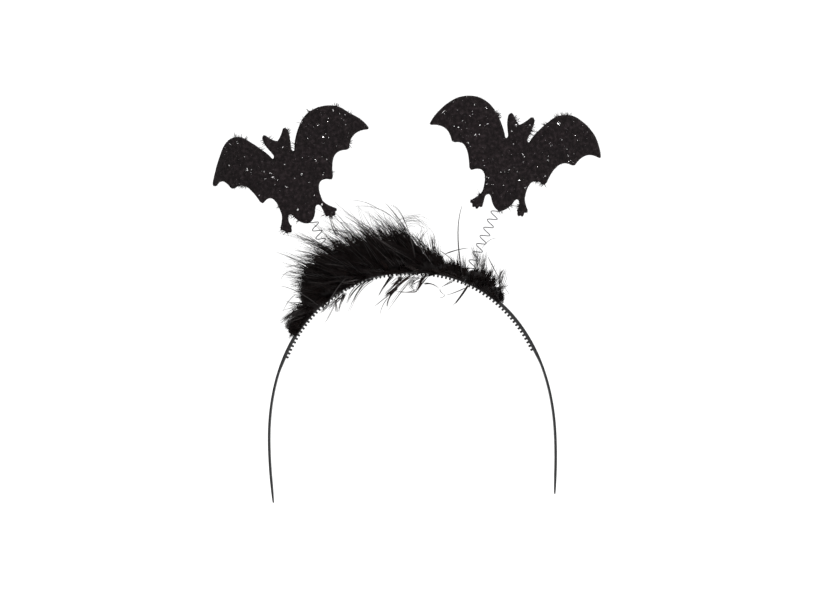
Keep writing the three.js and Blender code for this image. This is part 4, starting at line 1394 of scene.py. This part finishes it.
# %% Traced hairs
# behind: how far behind the band's middle, in millimetres, negative in front of it; part_start and
# part_end: how far the hairs of a bundle lie from each other there
BUNDLE = [
    ("start_column", float),
    ("start_row", float),
    ("middle_column", float),
    ("middle_row", float),
    ("end_column", float),
    ("end_row", float),
    ("behind", float),
    ("radius", float),
    ("hairs", float),
    ("part_start", float),
    ("part_end", float),
]
ABOVE = np.array(
    [
        (432, 264, 400, 220, 380, 197, -13.5, 0.17, 2, 0.3, 0.5),
        (415, 259, 404, 220, 391, 207, -13.0, 0.16, 2, 0.3, 0.6),
        (408, 257, 372, 234, 348, 209, -13.5, 0.15, 1, 0.2, 0.2),
        (409, 256, 380, 240, 346, 216, -13.0, 0.13, 1, 0.2, 0.2),
        (388, 240, 356, 220, 333, 201, -12.0, 0.15, 2, 0.4, 0.6),
        (380, 210, 364, 202, 346, 200, -6.0, 0.11, 1, 0.0, 0.0),
        (400, 223, 380, 208, 354, 205, -6.0, 0.10, 2, 0.5, 0.8),
        (338, 236, 332, 226, 331, 214, -9.0, 0.22, 3, 0.6, 0.3),
        (352, 233, 337, 230, 324, 228, -8.0, 0.14, 4, 0.8, 0.8),
        (463, 278, 458, 236, 462, 206, -7.5, 0.32, 1, 0.0, 0.0),
        (445, 254, 457, 250, 468, 248, -6.0, 0.28, 1, 0.0, 0.0),
        (440, 251, 450, 258, 457, 265, -6.0, 0.18, 2, 0.3, 0.3),
        (488, 257, 498, 276, 509, 294, -7.0, 0.22, 1, 0.0, 0.0),
        (503, 270, 498, 278, 492, 286, -6.0, 0.17, 2, 0.2, 0.4),
        (482, 248, 490, 240, 499, 238, -3.0, 0.12, 1, 0.0, 0.0),
        (326, 307, 336, 290, 346, 278, -13.5, 0.22, 1, 0.0, 0.0),
        (318, 305, 298, 292, 281, 286, -12.0, 0.22, 1, 0.0, 0.0),
        (298, 274, 288, 272, 281, 279, -6.0, 0.18, 1, 0.0, 0.0),
        (300, 266, 290, 267, 282, 269, -4.0, 0.12, 2, 0.5, 0.5),
        (296, 294, 288, 302, 283, 312, -4.0, 0.15, 1, 0.0, 0.0),
        (400, 222, 417, 217, 428, 229, 2.0, 0.05, 12, 1.8, 2.2),
        (404, 226, 420, 225, 431, 239, 3.0, 0.05, 12, 1.8, 2.4),
        (434, 254, 433, 244, 432, 235, -3.0, 0.12, 18, 0.9, 0.9),
        (420, 244, 421, 236, 424, 229, -2.0, 0.10, 10, 1.2, 1.2),
        (478, 268, 477, 258, 475, 248, 0.0, 0.08, 30, 1.3, 1.6),
        (483, 270, 484, 262, 485, 254, -2.0, 0.10, 18, 1.0, 1.2),
        (498, 286, 501, 278, 504, 270, -3.0, 0.12, 18, 0.8, 1.0),
        (499, 291, 503, 287, 507, 283, -3.0, 0.10, 8, 0.6, 0.9),
        (306, 309, 294, 314, 281, 321, -3.0, 0.13, 46, 1.5, 0.7),
        (302, 315, 293, 320, 285, 328, -3.0, 0.13, 40, 1.6, 0.9),
        (301, 319, 296, 327, 290, 338, -2.0, 0.13, 46, 1.4, 0.7),
    ],
    dtype=BUNDLE,
)
BELOW = np.array(
    [
        (393, 275, 386, 283, 379, 295, -4.8, 0.17, 8, 0.5, 0.25),
        (400, 276, 395, 284, 384, 295, -4.8, 0.17, 8, 0.5, 0.3),
        (410, 276, 400, 283, 394, 291, -5.0, 0.18, 12, 0.6, 0.3),
        (415, 277, 406, 285, 387, 311, -4.8, 0.17, 3, 0.3, 0.3),
        (397, 288, 391, 292, 385, 298, -5.0, 0.21, 12, 0.5, 0.4),
        (386, 297, 380, 302, 375, 306, -5.0, 0.20, 1, 0.0, 0.0),
        (395, 291, 389, 299, 387, 311, -5.0, 0.18, 4, 0.4, 0.3),
        (388, 298, 383, 305, 380, 314, -5.0, 0.17, 1, 0.0, 0.0),
        (426, 276, 421, 283, 417, 291, -5.0, 0.21, 18, 0.7, 0.35),
        (417, 291, 409, 292, 395, 291, -5.0, 0.18, 4, 0.3, 0.3),
        (421, 278, 411, 284, 416, 289, 4.8, 0.13, 9, 0.8, 0.8),
        (404, 277, 399, 281, 392, 285, 4.8, 0.12, 12, 1.2, 1.2),
        (424, 284, 432, 284, 440, 289, -4.8, 0.16, 3, 0.3, 0.1),
        (440, 289, 441, 292, 445, 295, -4.8, 0.16, 1, 0.0, 0.0),
        (445, 295, 443, 297, 439, 298, -4.8, 0.14, 1, 0.0, 0.0),
        (469, 284, 461, 296, 453, 306, -5.0, 0.22, 6, 0.25, 0.25),
        (465, 288, 456, 292, 447, 295, -5.2, 0.23, 1, 0.0, 0.0),
        (453, 280, 446, 284, 439, 288, 4.8, 0.13, 3, 0.3, 0.3),
        (371, 281, 359, 291, 348, 313, -5.2, 0.16, 6, 0.5, 0.5),
        (362, 283, 352, 293, 347, 304, 5.0, 0.16, 6, 0.5, 0.5),
        (339, 290, 335, 302, 325, 322, -6.0, 0.17, 3, 0.4, 0.5),
        (346, 293, 341, 303, 338, 312, -5.2, 0.16, 6, 0.5, 0.5),
        (343, 293, 335, 301, 323, 309, 5.0, 0.16, 9, 0.6, 0.7),
        (335, 300, 336, 308, 337, 314, -5.2, 0.16, 4, 0.3, 0.4),
        (330, 300, 327, 307, 320, 313, 5.0, 0.14, 6, 0.5, 0.7),
    ],
    dtype=BUNDLE,
)
# How deep the start, the middle and the end of a hair lie, as shares of `behind`
DEPTH_SHARES = [("start", 0.6, 0.7), ("middle", 0.9, 1.1), ("end", 0.5, 1.2)]


def traced(name, rows, material, seed, rings=12):
    """(1-t)^2 start + 2t(1-t) bend + t^2 end, with the bend 2 middle - (start + end) / 2."""
    rng = np.random.default_rng(seed)
    table = np.repeat(rows, rows["hairs"].astype(int))
    count = len(table)
    start, middle, end = (
        from_picture(
            table[f"{end_name}_column"],
            table[f"{end_name}_row"],
            table["behind"] * rng.uniform(least, most, count),
        )
        for end_name, least, most in DEPTH_SHARES
    )
    part_start, part_end = table["part_start"][:, None], table["part_end"][:, None]
    part = rng.normal(size=(3, count, 3))
    part[0] *= part_start
    part[2] *= part_end
    part[1] = (part[0] + part[2]) / 2 + part[1] * (part_start + part_end) / 8
    start, middle, end = start + part[0], middle + part[1], end + part[2]
    bend = (2 * middle - (start + end) / 2)[:, None]
    longest = np.where(table["hairs"] > 1, rng.uniform(0.75, 1.05, count), 1.0)
    t = longest[:, None, None] * np.linspace(0, 1, rings)[None, :, None]
    path = (1 - t) ** 2 * start[:, None] + 2 * t * (1 - t) * bend + t**2 * end[:, None]
    shade = rng.random(count)
    run = np.linspace(0, 1, rings)
    radius = table["radius"][:, None] * (1 - 0.7 * run**1.6) * np.clip(0.4 + 4 * run, 0, 1)
    points = tube_rings(path, radius, np.broadcast_to(ACROSS, path.shape), 4)
    piece = make_piece(
        name,
        points.reshape(-1, 3),
        loft_faces(count, rings, 4),
        material,
        "band",
        shade=np.repeat(shade, rings * 4),
    )
    return piece


traced("traced_above", ABOVE, barb_sheen, 41)
traced("traced_below", BELOW, black_marabou, 42)

# %% [markdown]
# ## Floor and light
# The photograph is a plain white studio. A pale floor lies below the tips of the band, the
# world is an even white, and one large soft light from the right draws the edges of the band.

# %% The floor
# A matt white sheet: rough, nearly without shine
pale_floor, tree, shader = new_material("pale_studio_floor")
shader.inputs["Base Color"].default_value = (0.93, 0.93, 0.93, 1.0)
shader.inputs["Roughness"].default_value = 0.9
shader.inputs["Specular IOR Level"].default_value = 0.1
FLOOR_LEVEL = -170.0
FLOOR_REACH = 20000.0
corner = np.array([[-1, -1], [1, -1], [1, 1], [-1, 1]]) * FLOOR_REACH
floor_points = np.concatenate([corner, np.full((4, 1), FLOOR_LEVEL)], 1)
floor = make_piece("floor", floor_points, [np.arange(4)[None]], pale_floor, smooth=False)

# %% [markdown]
# The white backdrop stands behind the object, so it shows at full strength, but the rest of the
# room sends back less light than that. Light Path tells the rays that leave the camera from those
# that only carry light, and no material reads it.

# %% The white room
BACKDROP_STRENGTH = 1.12
ROOM_STRENGTH = 0.62
world = bpy.data.worlds.new("white_studio")
world.use_nodes = True
tree = world.node_tree
room = next(node for node in tree.nodes if node.type == "BACKGROUND")
room.inputs["Color"].default_value = (1.0, 1.0, 1.0, 1.0)
room.inputs["Strength"].default_value = ROOM_STRENGTH
backdrop = add_node(
    tree, "ShaderNodeBackground", inputs={"Color": (1.0, 1.0, 1.0, 1.0), "Strength": BACKDROP_STRENGTH}
)
ray = add_node(tree, "ShaderNodeLightPath")
both = add_node(
    tree,
    "ShaderNodeMixShader",
    inputs={
        0: ray.outputs["Is Camera Ray"],
        1: room.outputs["Background"],
        2: backdrop.outputs["Background"],
    },
)
output = next(node for node in tree.nodes if node.type == "OUTPUT_WORLD")
tree.links.new(both.outputs["Shader"], output.inputs["Surface"])
bpy.context.scene.world = world
print("room light:", ROOM_STRENGTH, "backdrop:", BACKDROP_STRENGTH)

# %% [markdown]
# Light from above keeps the faces that look to the front dark, as they are in the photograph. Two
# small area lights draw soft lines along the band and the long barbs.

# %% The lights
overhead_data = bpy.data.lights.new("overhead", "SUN")
overhead_data.energy = 2.4
overhead_data.angle = math.radians(60)
overhead = bpy.data.objects.new("overhead", overhead_data)
overhead.rotation_euler = (math.radians(-12), math.radians(18), 0)
bpy.context.scene.collection.objects.link(overhead)


def soft_light(name, place, size, power):
    """A square area light at a place in millimetres that faces the middle of the object."""
    data = bpy.data.lights.new(name, "AREA")
    data.size = size * MM
    data.energy = power
    light = bpy.data.objects.new(name, data)
    light.location = Vector(place) * MM
    aim = Vector((0, 0, 0)) - light.location
    light.rotation_euler = aim.to_track_quat("-Z", "Y").to_euler()
    bpy.context.scene.collection.objects.link(light)
    return light


soft_light("key", (700, -800, 800), 500, 8)
soft_light("rim", (900, 500, 300), 400, 5)
